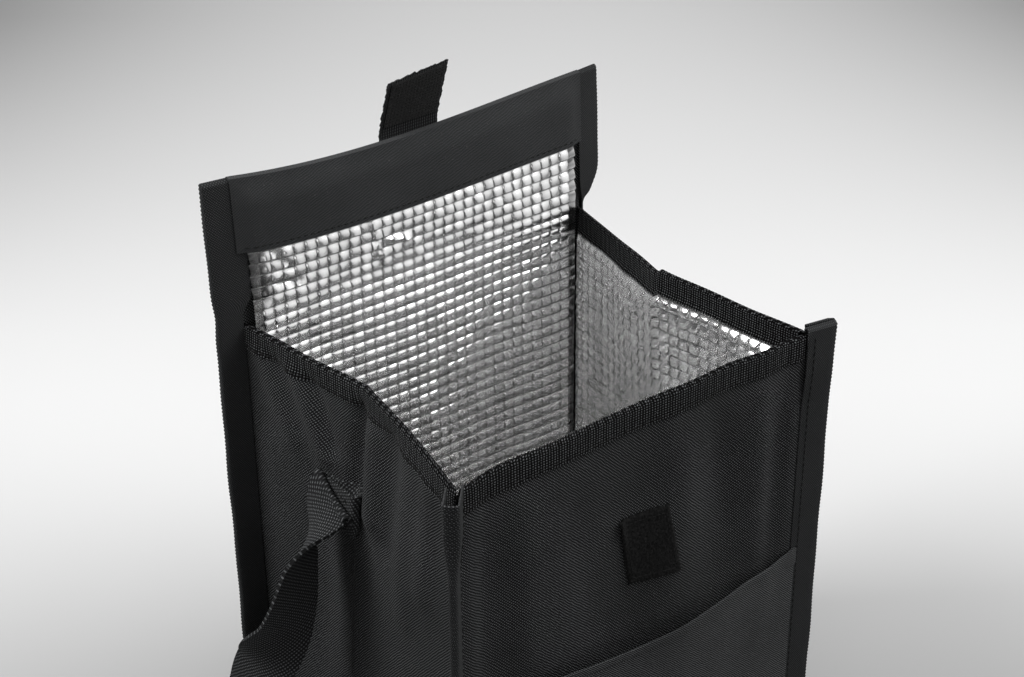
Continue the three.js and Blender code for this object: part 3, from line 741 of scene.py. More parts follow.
back_runs = stretches(
    (0, FOLD_Z - FOLD_FINE, 88),
    (FOLD_Z - FOLD_FINE, FOLD_Z + FOLD_FINE, 24),
    (FOLD_Z + FOLD_FINE, FOLD_Z + FLAP_HEIGHT, 18),
)


def back_with_fins(x, run):
    wall = back_point(np.clip(x, -HALF_WIDTH, HALF_WIDTH), run, 0.0)
    out = np.maximum(np.abs(x) - HALF_WIDTH, 0) * fin_waist(np.sign(x), run)
    aside, ahead = lean(out, 0.0, np.where(x > 0, fin_bend(1, 1, run), fin_bend(-1, 1, run)))
    return wall[0] + np.sign(x) * aside, wall[1] + ahead, wall[2]


back = lay_cloth("back_and_flap_cloth", -panel_columns, back_runs, back_with_fins)
back = dress(thicken(back, SHELL), TWILL, ["back_panel", "flap_panel"])
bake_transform(back)

FLANGE_Y = HALF_DEPTH - FOAM_DEPTH
GUSSET_FOOT = 1.7 * MM
GUSSET_GRAIN = -1.1
SIDES = ((-1, "left"), (1, "right"))


def gusset_with_fins(side):
    wall = side_point(side)

    def place(y, z):
        out = np.maximum(np.abs(y) - FLANGE_Y, 0)
        flat = wall(np.clip(y, -FLANGE_Y, FLANGE_Y), z, 0.0)
        through = FLANGE_Y - HALF_DEPTH
        front_side = into_fin(side, -1, out, through, cloth_in_fin(side, -1, z))
        back_side = into_fin(side, 1, out, through, z)
        return in_parts(y < -FLANGE_Y, y > FLANGE_Y, front_side, flat, back_side)

    return place


gusset_columns = stretches(
    (-FLANGE_Y - FIN + CLOTH_INSET, -FLANGE_Y, FIN_CELLS),
    (-FLANGE_Y, CREASE_Y, cells(FLANGE_Y, GUSSET_CELL)),
    (CREASE_Y, FLANGE_Y, cells(FLANGE_Y, GUSSET_CELL)),
    (FLANGE_Y, FLANGE_Y + FIN - CLOTH_INSET, FIN_CELLS),
)
gusset_rows = spread(GUSSET_FOOT, WALL_TOP, cells(RIM, GUSSET_CELL))
for side, name in SIDES:
    gusset = lay_cloth(f"{name}_gusset_cloth", side * gusset_columns, gusset_rows, gusset_with_fins(side),
                       GUSSET_GRAIN)
    gusset = dress(thicken(gusset, SHELL), TWILL, [f"{name}_gusset"])
    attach(gusset, "bag")

BASE_REACH = HALF_WIDTH - FOAM_DEPTH
BASE_END = HALF_DEPTH - FOAM_DEPTH
BASE_STEP = TAPE + 0.2 * MM
FLOOR_GAP = 0.02 * MM


def base_place(x, y):
    step = BASE_STEP * smooth((np.abs(x) - BASE_REACH + 2 * MM) / (2 * MM))
    return x, np.clip(y, -BASE_END, BASE_END), FLOOR_GAP + step + 0.0 * y


base_columns = stretches((-CLOTH_REACH, -BASE_REACH, 6), (-BASE_REACH, BASE_REACH, 40),
                         (BASE_REACH, CLOTH_REACH, 6))
base_rows = spread(BASE_END, -BASE_END, 40)
base = lay_cloth("base_cloth", base_columns, base_rows, base_place)
base = dress(thicken(base, SHELL), TWILL, ["base_panel"])
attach(base, "bag")

# %% [markdown]
# ## Foam
# Thin foam between twill and lining makes the bag insulated and gives the walls their body. It is sealed in
# and never seen, but it is there in the real bag, so it is there here: one sheet for each wall.

# %% Foam sheets
LINING_FOOT = WALL + 0.2 * MM
FOAM_END = FOLD_Z - 10 * MM
FLAP_PAD_SHARE = 0.86
SEAM_GAP = 0.4 * MM
FOIL_X = HALF_WIDTH - WALL - SEAM_GAP
FOIL_Y = HALF_DEPTH - WALL - SEAM_GAP
lining_xs = spread(-FOIL_X + 1 * MM, FOIL_X - 1 * MM, 32)
lining_ys = spread(-FOIL_Y + 1 * MM, FOIL_Y - 1 * MM, 54)
foam_zs = spread(LINING_FOOT, RIM_TAPE_FOOT - 4 * MM, 60)
pads = [
    ("front_padding", "front_foam", lining_xs, foam_zs, lambda x, z: front_point(x, z, FOAM_DEPTH)),
    ("back_padding", "back_foam", -lining_xs, spread(LINING_FOOT, FOAM_END, 60),
     lambda x, z: back_point(x, z, FOAM_DEPTH)),
    ("left_padding", "left_foam", -lining_ys, foam_zs, lambda y, z: side_point(-1)(y, z, FOAM_DEPTH)),
    ("right_padding", "right_foam", lining_ys, foam_zs, lambda y, z: side_point(1)(y, z, FOAM_DEPTH)),
    ("base_padding", "base_foam", spread(-FOIL_X, FOIL_X, 20), spread(FOIL_Y, -FOIL_Y, 20),
     lambda x, y: (x, y, FOAM_DEPTH + 0.0 * x)),
    ("flap_padding", "flap_foam", -lining_xs * FLAP_PAD_SHARE, spread(10 * MM, FLAP_HEIGHT - 11 * MM, 20),
     lambda x, h: flap_point(x, h, FOAM_DEPTH)),
]
for name, node, columns, rows, place in pads:
    pad = dress(thicken(lay_cloth(name, columns, rows, place), FOAM), PAD_FOAM, [node])
    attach(pad, "flap" if node == "flap_foam" else "bag")

# %% [markdown]
# ## Foil lining
# The film is pressed in a grid of five-millimetre squares that puff up like small pillows. A bump map would
# give flat highlights, so the pillows are geometry: each square has its own height and tilt, from a seeded
# random draw, and a few crumpled lines cross them. Each pillow is fullest near its foot and falls off towards
# its top. The back lining runs over the fold into the flap.

# %% Pressed squares
SQUARE = 5 * MM
PUFF = 1.15 * MM
PUFF_RANGE = (0.85, 1.15)
LOOSE_PUFF = 0.25
TILT_ACROSS = 0.22
TILT_UP = 0.1
TAUT_TILT = 0.3
FULLEST = -0.22
LOOSE_FULLEST = -0.03
UPPER_POWER = 2.9
LOOSE_POWER = -1.4
LOWER_POWER = 2.0
PARTING = 0.5
LOOSE_PARTING = 0.37
PARTING_POWER = 8
THINNEST = 0.02 * MM
# Painted shade on the pressed lines: how sharp it is, how dark, and its share on the upright lines.
SEAL_SHARPNESS = 14
GROOVE_SHADE = 0.66
UPRIGHT_SEAL = 0.6
SHADE_TURN = 2.4
SPANS = np.array([0.0, 0.08, 0.25, 0.5, 0.75, 0.92])
CELL_SHIFT = 200
ON_LINE = 1e-6
DRAWS = np.random.default_rng(7)


def squares(low, high):
    """Lines of the grid from low to high: always one on each pressed line, closer together beside it."""
    first, last = math.ceil(low / SQUARE), math.floor(high / SQUARE)
    inner = np.concatenate([[(k + span) * SQUARE for span in SPANS] for k in range(first, last)])
    return np.concatenate([[low], inner, [last * SQUARE, high]])


def pressed(u, v, crumples, loose):
    """Height of the pressed film over (u, v), both in metres: rows of pillows between sharp pressed lines.
    Where the film is loose, from 0 to 1, the pillows are fuller, hang, and part from each other more."""
    shape = (2 * CELL_SHIFT, 2 * CELL_SHIFT)
    puff = DRAWS.uniform(*PUFF_RANGE, shape)
    tilt_u, tilt_v = DRAWS.normal(0, TILT_ACROSS, shape), DRAWS.normal(0, TILT_UP, shape)
    cu, cv = u / SQUARE + CELL_SHIFT, v / SQUARE + CELL_SHIFT
    i, j = np.floor(cu + ON_LINE).astype(int), np.floor(cv + ON_LINE).astype(int)
    fu, fv = cu - i - 0.5, cv - j - 0.5
    fullest = FULLEST + LOOSE_FULLEST * loose
    rise = fv - fullest
    share = np.abs(rise) / np.where(rise > 0, 0.5 - fullest, 0.5 + fullest)
    row = np.clip(1 - share ** np.where(rise > 0, UPPER_POWER + LOOSE_POWER * loose, LOWER_POWER), 0, 1)
    parted = 1 - (PARTING + LOOSE_PARTING * loose) * np.abs(2 * fu) ** PARTING_POWER
    uneven = puff[i, j] + (TAUT_TILT + loose) * (fu * tilt_u[i, j] + fv * tilt_v[i, j])
    height = PUFF * (1 + LOOSE_PUFF * loose) * row * parted * uneven
    for start, end, width, depth in crumples:
        height = height + depth * MM * soft_fold(u / MM, v / MM, start, end, width)
    return np.maximum(height, THINNEST)


def near_line(lines):
    """1 on the pressed lines of the grid and 0 midway between them."""
    return np.abs(2 * (lines / SQUARE - np.floor(lines / SQUARE + ON_LINE)) - 1)


def lay_foil(name, columns, rows, place, free, loose=0.0, crumples=(), shade=None):
    """place(u, v, depth) as for a wall; the film faces the bag's inside and lies flat where it isn't free.
    Shade is painted on its pressed lines; where shade(u, v) is given, a dark reflection is painted between
    them instead, and the lines there are light."""

    def put(u, v):
        hanging = loose(u, v) if callable(loose) else loose
        return place(u, v, WALL + pressed(u, v, crumples, hanging) * free(u, v))

    film = lay_cloth(name, columns, rows, put)
    upright, level = np.meshgrid(near_line(columns), near_line(rows))
    # Painted shade on the pressed lines; beside the left tape a painted dark reflection between them, with
    # light lines.
    painted_shade = GROOVE_SHADE * np.maximum(UPRIGHT_SEAL * upright ** SEAL_SHARPNESS, level ** SEAL_SHARPNESS)
    if shade:
        painted_shade = painted_shade + (1 - SHADE_TURN * painted_shade) * shade(*np.meshgrid(columns, rows))
    shade_layer = film.data.attributes.new(PAINTED_SHADE, "FLOAT", "POINT")
    shade_layer.data.foreach_set("value", painted_shade.astype(np.float32).ravel())
    return film


# %% Linings
BAND_HEIGHT = 29.5 * MM
FLAP_FOIL_X = FOIL_X + 0.1 * MM
SEAM_PRESS = 1.3 * MM
# The painted dark reflection of the left tape on the flap's film: its reach, its widening near the fold, its
# strength.
SHADE_REACH = 6 * MM
SHADE_MORE = 4 * MM
SHADE_DARK = 0.95
KINK_LOW = 0.15
back_crumples = [
    ((-26, 262), (-20, 240), 1.2, 0.9),
    ((-20, 250), (-8, 246), 1.2, 0.7),
    ((-72, 264), (-62, 251), 1.3, -1.3),
    ((-75, 247), (-58, 243), 1.3, -1.2),
    ((-74.5, 270), (-74.5, 240), 1.6, -1.3),
]
foil_top = FOLD_Z + FLAP_HEIGHT - BAND_HEIGHT + 8 * MM


def on_flap(run):
    return smooth((run - FOLD_Z) / (6 * MM))


def flap_side(x, run):
    """On the flap the film reaches a little further out, under the left side tape."""
    wider = (FLAP_FOIL_X / FOIL_X - 1) * on_flap(run) * (x < 0)
    return x * (1 + wider)


def back_film(x, run, depth):
    return back_point(flap_side(x, run), run, depth)


def beside_seam(u, half):
    return smooth((half - np.abs(u)) / SEAM_PRESS)


def back_free(x, run):
    under_band = smooth((foil_top - 7 * MM - run) / (3 * MM))
    under_tape = smooth((HALF_WIDTH - 2.4 * MM + flap_side(x, run)) / (2 * MM))
    return under_band * (beside_seam(x, FOIL_X) + (under_tape - beside_seam(x, FOIL_X)) * on_flap(run))


def back_loose(x, run):
    return smooth((run - FOLD_Z + 14 * MM) / (18 * MM))


def painted_tape_reflection(x, run):
    """A dark reflection of the left tape is painted between the pressed lines of the slack film beside it,
    wider near the fold.
    """
    reach = SHADE_REACH + SHADE_MORE * smooth((FOLD_Z + 22 * MM - run) / (22 * MM))
    return SHADE_DARK * smooth((reach - x - FOIL_X) / (2.5 * MM)) * on_flap(run)


foil_xs, foil_ys = squares(-FOIL_X, FOIL_X), squares(-FOIL_Y, FOIL_Y)
foil_runs = squares(LINING_FOOT, foil_top)
back_foil = lay_foil("back_and_flap_lining", foil_xs, foil_runs, back_film, back_free, back_loose,
                     back_crumples, painted_tape_reflection)
back_foil = dress(back_foil, FOIL_FILM, ["back_liner", "flap_liner"], PRESSED_ANGLE)
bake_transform(back_foil)

wall_rows = squares(LINING_FOOT, WALL_TOP)


def wall_free(half):
    return lambda u, z: smooth((RIM_TAPE_FOOT - z) / (3 * MM)) * beside_seam(u, half)


def kinked(y, z):
    """The right lining is loose in its upper part, except near the back seam."""
    return KINK_LOW + (1 - KINK_LOW) * smooth((z - 150 * MM) / (30 * MM)) * smooth((40 * MM - y) / (20 * MM))


linings = [
    ("front", -foil_xs, wall_rows, front_point, wall_free(FOIL_X), 0.0),
    ("left", foil_ys, wall_rows, side_point(-1), wall_free(FOIL_Y), 0.0),
    ("right", -foil_ys, wall_rows, side_point(1), wall_free(FOIL_Y), kinked),
    ("base", foil_xs, foil_ys, lambda x, y, depth: (x, y, depth),
     lambda x, y: beside_seam(x, FOIL_X) * beside_seam(y, FOIL_Y), 0.0),
]
for name, columns, rows, place, free, loose in linings:
    lining = lay_foil(f"{name}_lining", columns, rows, place, free, loose)
    lining = dress(lining, FOIL_FILM, [f"{name}_liner"], PRESSED_ANGLE)
    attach(lining, "bag")

# %% [markdown]
# ## Binding tape
# A woven tape is folded double over each raw edge. Its section is a narrow U: one leg, a tight round fold and
# the other leg. The section is a row of the grid, and the grid runs along the edge in steps of a third of a
# tooth, so the fold and the open edges get the small teeth that the weave gives them: smaller on the fins
# than on the rim. Most tapes are held by a row of stitches.

# %% Tape helpers
TOOTH = 1.7 * MM
TOOTH_STEP = TOOTH / 3
TAPE_GRAIN = 1.5
FIN_TOOTH = 0.22 * MM
RIM_TOOTH = 0.42 * MM
FOLD_TEETH = 2.2 * MM
EDGE_TEETH = 0.8 * MM
EDGE_SHARE = 0.6
TAPE_SWAY = 0.3 * MM
TAPE_ROUND = 0.6
LEG_STEPS = 6
BEND_STEPS = 6


def tape_section(stack, length):
    """Points of the U, outside: through (from -stack to 0 between the legs' inner faces) and out."""
    radius = stack / 2 + TAPE
    legs = np.linspace(0.2 * MM, length - radius * TAPE_ROUND, LEG_STEPS)
    angles = np.linspace(math.pi / 2, -math.pi / 2, BEND_STEPS + 1)[1:-1]
    bend = [(-stack / 2 + radius * math.sin(a), legs[-1] + radius * TAPE_ROUND * math.cos(a)) for a in angles]
    first = [(TAPE, out) for out in legs]
    second = [(-stack - TAPE, out) for out in legs[::-1]]
    return np.array(first + bend + second)


def toothed(section, columns, run, depth):
    """The section's points for a grid, with small teeth at the fold and at the open edges."""
    index = columns.astype(int)
    through, out = section[index, 0], section[index, 1]
    at_fold = smooth((out - out.max() + FOLD_TEETH) / FOLD_TEETH)
    at_edge = smooth((EDGE_TEETH - out) / EDGE_TEETH)
    tooth = np.cos(2 * math.pi * run / TOOTH)
    sway = np.sin(run / (8 * MM)) * np.sin(run / (23 * MM) + 1.0)
    return through, out + (depth * tooth + TAPE_SWAY * sway) * at_fold + EDGE_SHARE * depth * tooth * at_edge


def lay_tape(name, section, runs, place, depth):
    """A tape along runs; place(through, out, run) gives x, y and z."""

    def put(column, run):
        through, out = toothed(section, column, run, depth)
        return place(through, out, run)

    return lay_cloth(name, np.arange(len(section)), runs, put, TAPE_GRAIN)


def teeth(low, high):
    return spread(low, high, round((high - low) / TOOTH_STEP))


STITCH_PITCH = 3.0 * MM
STITCH_LENGTH = 2.5 * MM
THREAD_RADIUS = 0.26 * MM


def sew(name, place, low, high):
    """A row of stitches along place(run), from low to high: each is a slim bead that lies along the row."""
    count = max(1, round((high - low) / STITCH_PITCH))
    runs = spread(low, high, 2 * count)
    line = np.stack(np.broadcast_arrays(*place(runs)), axis=-1)
    bm = bmesh.new()
    for before, middle, after in zip(line[:-2:2], line[1:-1:2], line[2::2]):
        turned = Vector(after - before).to_track_quat("X", "Z").to_matrix().to_4x4()
        slim = Matrix.Diagonal((STITCH_LENGTH / 2, THREAD_RADIUS, THREAD_RADIUS, 1))
        bead = Matrix.Translation(middle) @ turned @ slim
        bmesh.ops.create_icosphere(bm, subdivisions=1, radius=1.0, matrix=bead)
    mesh = bpy.data.meshes.new(name)
    bm.to_mesh(mesh)
    bm.free()
    row = bpy.data.objects.new(name, mesh)
    bpy.context.scene.collection.objects.link(row)
    return dress(row, THREAD)


def ride_bag(piece):
    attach(piece, "bag")


def bend_at_fold(piece):
    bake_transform(piece)


STITCH_LIFT = TAPE + 0.1 * MM


def bind(name, section, runs, place, tooth, material, nodes, move, seam=None):
    """Lays a tape over an edge. A seam says how far out its stitches are, and where they begin and end."""
    tape = lay_tape(f"{name}_tape", section, runs, place, tooth)
    tape = dress(thicken(tape, TAPE), material, nodes)
    move(tape)
    if seam:
        out, low, high = seam
        row = sew(f"{name}_stitches", lambda run: place(STITCH_LIFT + 0 * run, out + 0 * run, run), low, high)
        move(row)


# %% Tapes over the upright seams, the flap's sides and the base's sides
FIN_STACK = 2.0 * MM
FIN_SEAM = 2.8 * MM
FIN_LIFT = 0.2 * MM
fin_section = tape_section(FIN_STACK, FIN)
RIM_TOP = RIM + 0.8 * MM
FAR_FIN_TOP = RIM_TOP + 3 * MM
FLAP_EDGE_RISE = 0.9 * MM
FLAP_TAPE_END = FOLD_Z + FLAP_HEIGHT + FLAP_EDGE_RISE
PINCH = 1.2 * MM
PINCH_SHARE = 0.75
FIN_BULK = 0.9
BULK_FOOT = 196 * MM
INNER_LAPS = {-1: 4.4 * MM, 1: 0.8 * MM}
FRONT_LAP = 2.2 * MM


def pinched(through, run, end):
    """Closes the U at an end of the tape."""
    closed = smooth((run - end + PINCH) / PINCH)
    return through + (-FIN_STACK / 2 - through) * PINCH_SHARE * closed


def lapped(out, lap, where):
    """Lets the leg of a tape reach further in over the wall, by the lap at its edge."""
    return out - lap * where * np.clip(1 - out / FIN, 0, 1)


for side, name in SIDES:
    top = FAR_FIN_TOP if side > 0 else NEAR_FIN_TOP
    outward, inward = (fin_section, fin_section[::-1]) if side > 0 else (fin_section[::-1], fin_section)

    def front_fin(through, out, z, side=side, top=top):
        bulk = FIN_BULK * smooth((z - BULK_FOOT) / (20 * MM))
        out = lapped(out, FRONT_LAP, through > 0)
        through = through + (through + FIN_STACK / 2) * bulk
        if side > 0:
            through = pinched(through, z, top)
        return into_fin(side, -1, out, through + FIN_LIFT, z)

    def back_fin(through, out, run, side=side):
        inner = smooth((-through - FIN_STACK) / TAPE) * smooth((run - FOLD_Z) / (8 * MM))
        out = lapped(out, INNER_LAPS[side], inner) * fin_waist(side, run)
        through = pinched(through, run, FLAP_TAPE_END) + FIN_LIFT
        aside, ahead = lean(out, through, fin_bend(side, 1, run))
        _, y, z = back_point(side * HALF_WIDTH + 0.0 * run, run, 0.0)
        return side * (HALF_WIDTH + aside), y + ahead, z

    def base_fin(through, out, y, side=side):
        return side * (HALF_WIDTH + out), y, TAPE - through + FLOOR_GAP

    bind(f"front_{name}", outward, teeth(0, top), front_fin, FIN_TOOTH, FIN_BINDING,
         [f"front_{name}_binding"], ride_bag,
         (FIN_SEAM, 4 * MM, top - 4 * MM))
    bind(f"back_{name}", inward, teeth(0, FLAP_TAPE_END), back_fin, FIN_TOOTH, FIN_BINDING,
         [f"back_{name}_binding", f"flap_{name}_binding"], bend_at_fold,
         (FIN_SEAM, 4 * MM, FLAP_TAPE_END - 3 * MM))
    base_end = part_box(f"base_{name}_binding")[1].y
    bind(f"base_{name}", outward, teeth(-base_end, base_end), base_fin, FIN_TOOTH, FIN_BINDING,
         [f"base_{name}_binding"], ride_bag)

# %% Tapes over the rim
RIM_SEAM = 1.7 * MM
RIM_LIFT = 0.2 * MM
SEAM_END = 2 * MM
rim_section = tape_section(WALL + 0.4 * MM, RIM_TAPE + 0.8 * MM)


def rim_tape(name, wall, half, section, nodes):
    """A tape along a wall's rim. Its inner leg is shorter at its ends, so that two tapes meet in a corner."""

    def place(through, out, along_rim):
        inner = np.clip(-through, 0.1 * MM, WALL + TAPE)
        return wall(along_rim * (half - inner) / half, RIM_TAPE_FOOT + out, -through - RIM_LIFT)

    bind(f"{name}_rim", section, teeth(-half, half), place, RIM_TOOTH, BINDING, nodes, ride_bag,
         (RIM_SEAM, -half + SEAM_END, half - SEAM_END))


rim_tape("front", front_point, HALF_WIDTH, rim_section[::-1], ["front_rim_binding"])
for side, name in SIDES:
    rim_tape(name, side_point(side), HALF_DEPTH, rim_section if side < 0 else rim_section[::-1],
             [f"{name}_rim_binding"])

# %% [markdown]
# ## Pocket, facing band and loop patch
# The pocket is one sheet, caught in the fins and at its foot. Its mouth hangs open in the middle, and its top
# edge is turned in as a hem. The facing band covers the top of the foil and turns over the flap's edge. The
# loop patch is a small piece of pile tape, sewn on a little askew, with one edge that curls.

# %% Pocket
POCKET_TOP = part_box("pocket_panel")[1].z
POCKET_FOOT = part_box("pocket_panel")[0].z
POCKET_BULGE = 10 * MM
POCKET_GAP = 0.9 * MM
POCKET_EDGE = 10 * MM
POCKET_RIPPLE = 0.5 * MM
HEM = 9 * MM
HEM_SEAM = 3.5 * MM
HEM_TURN = 1.6 * MM
HEM_ROUND = 0.5 * MM
HEM_INWARD = 0.9 * MM
HEM_STEP = 0.5 * MM
HEM_PULL = 0.45 * MM
HEM_FINE = 6 * MM
POCKET_FOLDS = [
    ((64, 130), (60, 60), 6, 0.6),
    ((48, 130), (42, 50), 8, -0.4),
    ((12, 128), (4, 40), 13, 0.8),
    ((-40, 128), (-34, 40), 12, -0.7),
]


def pocket_place(x, run):
    """Run goes up the pocket, over the edge of its hem and down again on the inside."""
    turned = np.clip(run - POCKET_TOP, 0, None)
    angle = np.clip(turned / HEM_TURN, 0, 1) * math.pi
    z = np.where(turned > HEM_TURN, POCKET_TOP - (turned - HEM_TURN), np.minimum(run, POCKET_TOP))
    z = z + HEM_ROUND * np.sin(angle)
    height = np.clip((z - POCKET_FOOT) / (POCKET_TOP - POCKET_FOOT), 0, 1.05)
    bulge = POCKET_BULGE * (1 - (x / HALF_WIDTH) ** 2) * height ** 1.5
    edge = smooth((HALF_WIDTH - np.abs(x)) / POCKET_EDGE)
    ripple = POCKET_RIPPLE * np.sin(x / (15 * MM) + 1.0) * height * edge
    inward = HEM_INWARD * (1 - np.cos(angle)) / 2
    above_seam = z - POCKET_TOP + HEM_SEAM
    hem = HEM_STEP * smooth(above_seam / (0.8 * MM)) - HEM_PULL * bell(above_seam, 0.5 * MM)
    drape = folded(x, z, POCKET_FOLDS) * height * edge
    stand = POCKET_GAP + bulge + ripple + drape + front_swell(x, z) * (1 - height) + (hem - inward) * edge
    return x, -(HALF_DEPTH + stand), z


pocket_rows = stretches((POCKET_FOOT, POCKET_TOP - HEM_FINE, 50), (POCKET_TOP - HEM_FINE, POCKET_TOP, 24),
                        (POCKET_TOP, POCKET_TOP + HEM_TURN, 5), (POCKET_TOP + HEM_TURN, POCKET_TOP + HEM, 5))
pocket_columns = spread(-HALF_WIDTH, HALF_WIDTH, 72)
pocket = lay_cloth("pocket_cloth", pocket_columns, pocket_rows, pocket_place)
pocket = dress(thicken(pocket, SHELL), POCKET_TWILL, ["pocket_panel"])
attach(pocket, "bag")
row = sew("pocket_hem_stitches", lambda x: pocket_place(x, POCKET_TOP - HEM_SEAM + 0 * x),
          -HALF_WIDTH + SEAM_END, HALF_WIDTH - SEAM_END)
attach(row, "bag")

# %% Facing band
BAND_DEPTH = WALL + 0.9 * MM
BAND_FOLD = 3.4 * MM
BAND_FOOT = FLAP_HEIGHT - BAND_HEIGHT
BAND_TOP = FLAP_HEIGHT + FLAP_EDGE_RISE
BAND_HALF = HALF_WIDTH + 0.5 * MM
BAND_ROUND = 0.5 * MM
BAND_SEAM = 2 * MM


def band_place(x, run):
    """Run goes up the inside of the flap and over its top edge to the outside."""
    rise = np.minimum(run, BAND_TOP)
    over = np.clip((run - BAND_TOP) / BAND_FOLD, 0, 1)
    depth = BAND_DEPTH + SHELL - (BAND_DEPTH + SHELL) * over
    return flap_point(x, rise + BAND_ROUND * np.sin(over * math.pi), depth)


band_rows = stretches((BAND_FOOT, BAND_TOP, 20), (BAND_TOP, BAND_TOP + BAND_FOLD, 6))
band_columns = spread(-BAND_HALF, BAND_HALF, 66)
band = lay_cloth("facing_band", band_columns, band_rows, band_place)
band = dress(thicken(band, SHELL), FACING, ["flap_band"])
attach(band, "flap")
row = sew("band_stitches", lambda x: band_place(x, BAND_FOOT + BAND_SEAM + 0 * x),
          -HALF_WIDTH + SEAM_END, HALF_WIDTH - SEAM_END)
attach(row, "flap")

# %% Loop patch
PATCH = [(-7.6, 180.8), (13.7, 181.8), (21.0, 148.6), (-1.8, 149.8)]
PATCH_WIDTH = 22 * MM
PATCH_LENGTH = 33 * MM
PATCH_ROUND = 2 * (PATCH_WIDTH + PATCH_LENGTH)
PATCH_GAP = 0.3 * MM
PATCH_INSET = 0.09
PATCH_CURL = 1.3 * MM
PATCH_TAPE = 0.7 * MM
PILE = 0.9 * MM
PILE_NAP = 0.16 * MM
PILE_RAGS = 0.25 * MM
PILE_SEAM = PILE + 0.35 * MM
AT_EDGE = 0.001
pile_draws = np.random.default_rng(11)


def patch_flat(u, v):
    """Where u across and v down the patch lie on the front: x and z."""
    top_left, top_right, low_right, low_left = (np.array(corner) * MM for corner in PATCH)
    return [(1 - v) * ((1 - u) * a + u * b) + v * ((1 - u) * d + u * c)
            for a, b, c, d in zip(top_left, top_right, low_right, low_left)]


def patch_place(u, v):
    """The pile is uneven and has a ragged edge. The upper part of its left edge curls."""
    x, z = patch_flat(u, v)
    nap = pile_draws.normal(0, PILE_NAP, u.shape)
    curl = PATCH_CURL * smooth((0.16 - u) / 0.16) * smooth((0.6 - v) / 0.6)
    edge = np.minimum(np.minimum(u, 1 - u), np.minimum(v, 1 - v))
    stand = PATCH_GAP + PILE * smooth(edge / 0.06 + 0.35) + curl + nap
    ragged = pile_draws.normal(0, PILE_RAGS, u.shape) * (edge < AT_EDGE)
    return x + ragged, -(HALF_DEPTH + stand + front_swell(x, z)), z + ragged


def patch_seam(run):
    """Once round the patch, a little inside its edge: run goes from 0 to 1."""
    side = np.minimum((4 * run).astype(int), 3)
    part = 4 * run - side
    u = np.choose(side, [part, 1 + 0 * part, 1 - part, 0 * part])
    v = np.choose(side, [0 * part, part, 1 + 0 * part, 1 - part])
    x, z = patch_flat(*(PATCH_INSET + (1 - 2 * PATCH_INSET) * share for share in (u, v)))
    return x, -(HALF_DEPTH + PILE_SEAM + front_swell(x, z)), z


patch = lay_cloth("loop_patch_pile", spread(0, 1, 60), spread(1, 0, 84), patch_place)
patch = dress(thicken(patch, PATCH_TAPE), LOOP_PILE, ["loop_patch"])
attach(patch, "bag")
row = sew("patch_stitches", lambda run: patch_seam(run / PATCH_ROUND), 0, PATCH_ROUND * (1 - AT_EDGE))
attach(row, "bag")

# %% [markdown]
# ## Hook tab
# The tab is a short tape, caught in the flap's top seam. Its root follows the flap's bow and its free end
# curls;
# the tape stays where it is laid, and only its hooks ride on the tab. The hooks are a field of small leaning
# studs on their own backing.

# %% Tab and hooks
TAB_LOW = [(-17.8, 284.0), (8.9, 283.5)]
TAB_HIGH = [(-11.0, 310.4), (18.0, 312.9)]
TAB_THICKNESS = 0.8 * MM
TAB_FLARE = 1.8 * MM
TAB_CURL = 1.2 * MM
TAB_ROOT_BOW = 0.8
TAB_FRAY = 0.28 * MM
KNOT = 1.1 * MM
KNOT_SPREAD = 0.7
KNOT_WIDTH = 0.07
HOOK_STAND = TAB_THICKNESS / 2 + 0.5 * MM
HOOK_BACKING = 0.35 * MM
HOOK_LENGTH = 0.7 * MM
HOOK_FOOT = 0.22 * MM
HOOK_TIP = 0.12 * MM
HOOK_LEAN = math.radians(62)
tab_draws = np.random.default_rng(3)


def tab_point(u, v, stand):
    """u across and v up the tab; stand is towards the front."""
    low = [(1 - u) * a + u * b for a, b in zip(*TAB_LOW)]
    high = [(1 - u) * a + u * b for a, b in zip(*TAB_HIGH)]
    x, z = ((1 - v) * a + v * b for a, b in zip(low, high))
    flare = TAB_FLARE * smooth((0.2 - v) / 0.2) * (1 - u) ** 2
    root = smooth((0.35 - v) / 0.35)
    curl = TAB_CURL * smooth(v) * (0.5 - u)
    return x * MM - flare, TAB_Y - FLAP_BOW * TAB_ROOT_BOW * root - curl - stand, z * MM


def frayed_tab(u, v):
    """The tab's tape with worn edges and a small knot at its free end."""
    edge = np.minimum(np.minimum(u, 1 - u), 1 - v) < AT_EDGE
    uneven_highlight = tab_draws.normal(0, TAB_FRAY, u.shape) * edge
    knot = KNOT * bell(u, KNOT_WIDTH) * bell(1 - v, KNOT_WIDTH)
    x, y, z = tab_point(u, v, TAB_THICKNESS / 2)
    return x + uneven_highlight - KNOT_SPREAD * knot, y - knot, z + uneven_highlight


tab = lay_cloth("closure_tab_tape", spread(0, 1, 28), spread(0, 1, 40), frayed_tab)
tab = dress(thicken(tab, TAB_THICKNESS), TAB_RIB, ["closure_tab"])
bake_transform(tab)

hooks = lay_cloth("hook_field", spread(0.05, 0.95, 14), spread(0.34, 0.97, 14),
                  lambda u, v: tab_point(u, v, HOOK_STAND))
hooks = thicken(hooks, HOOK_BACKING)
bm = bmesh.new()
bm.from_mesh(hooks.data)
for v in np.linspace(0.37, 0.94, 15):
    for u in np.linspace(0.08, 0.92, 16):
        middle = Vector([float(c) for c in tab_point(u, v, HOOK_STAND + HOOK_LENGTH / 2)])
        stud = Matrix.Translation(middle) @ Matrix.Rotation(HOOK_LEAN, 4, "X")
        bmesh.ops.create_cone(bm, cap_ends=True, segments=5, radius1=HOOK_FOOT, radius2=HOOK_TIP,
                              depth=HOOK_LENGTH, matrix=stud)
bm.to_mesh(hooks.data)
bm.free()
dress(hooks, HOOK_TAPE, ["hook_strip"])
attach(hooks, "tab")

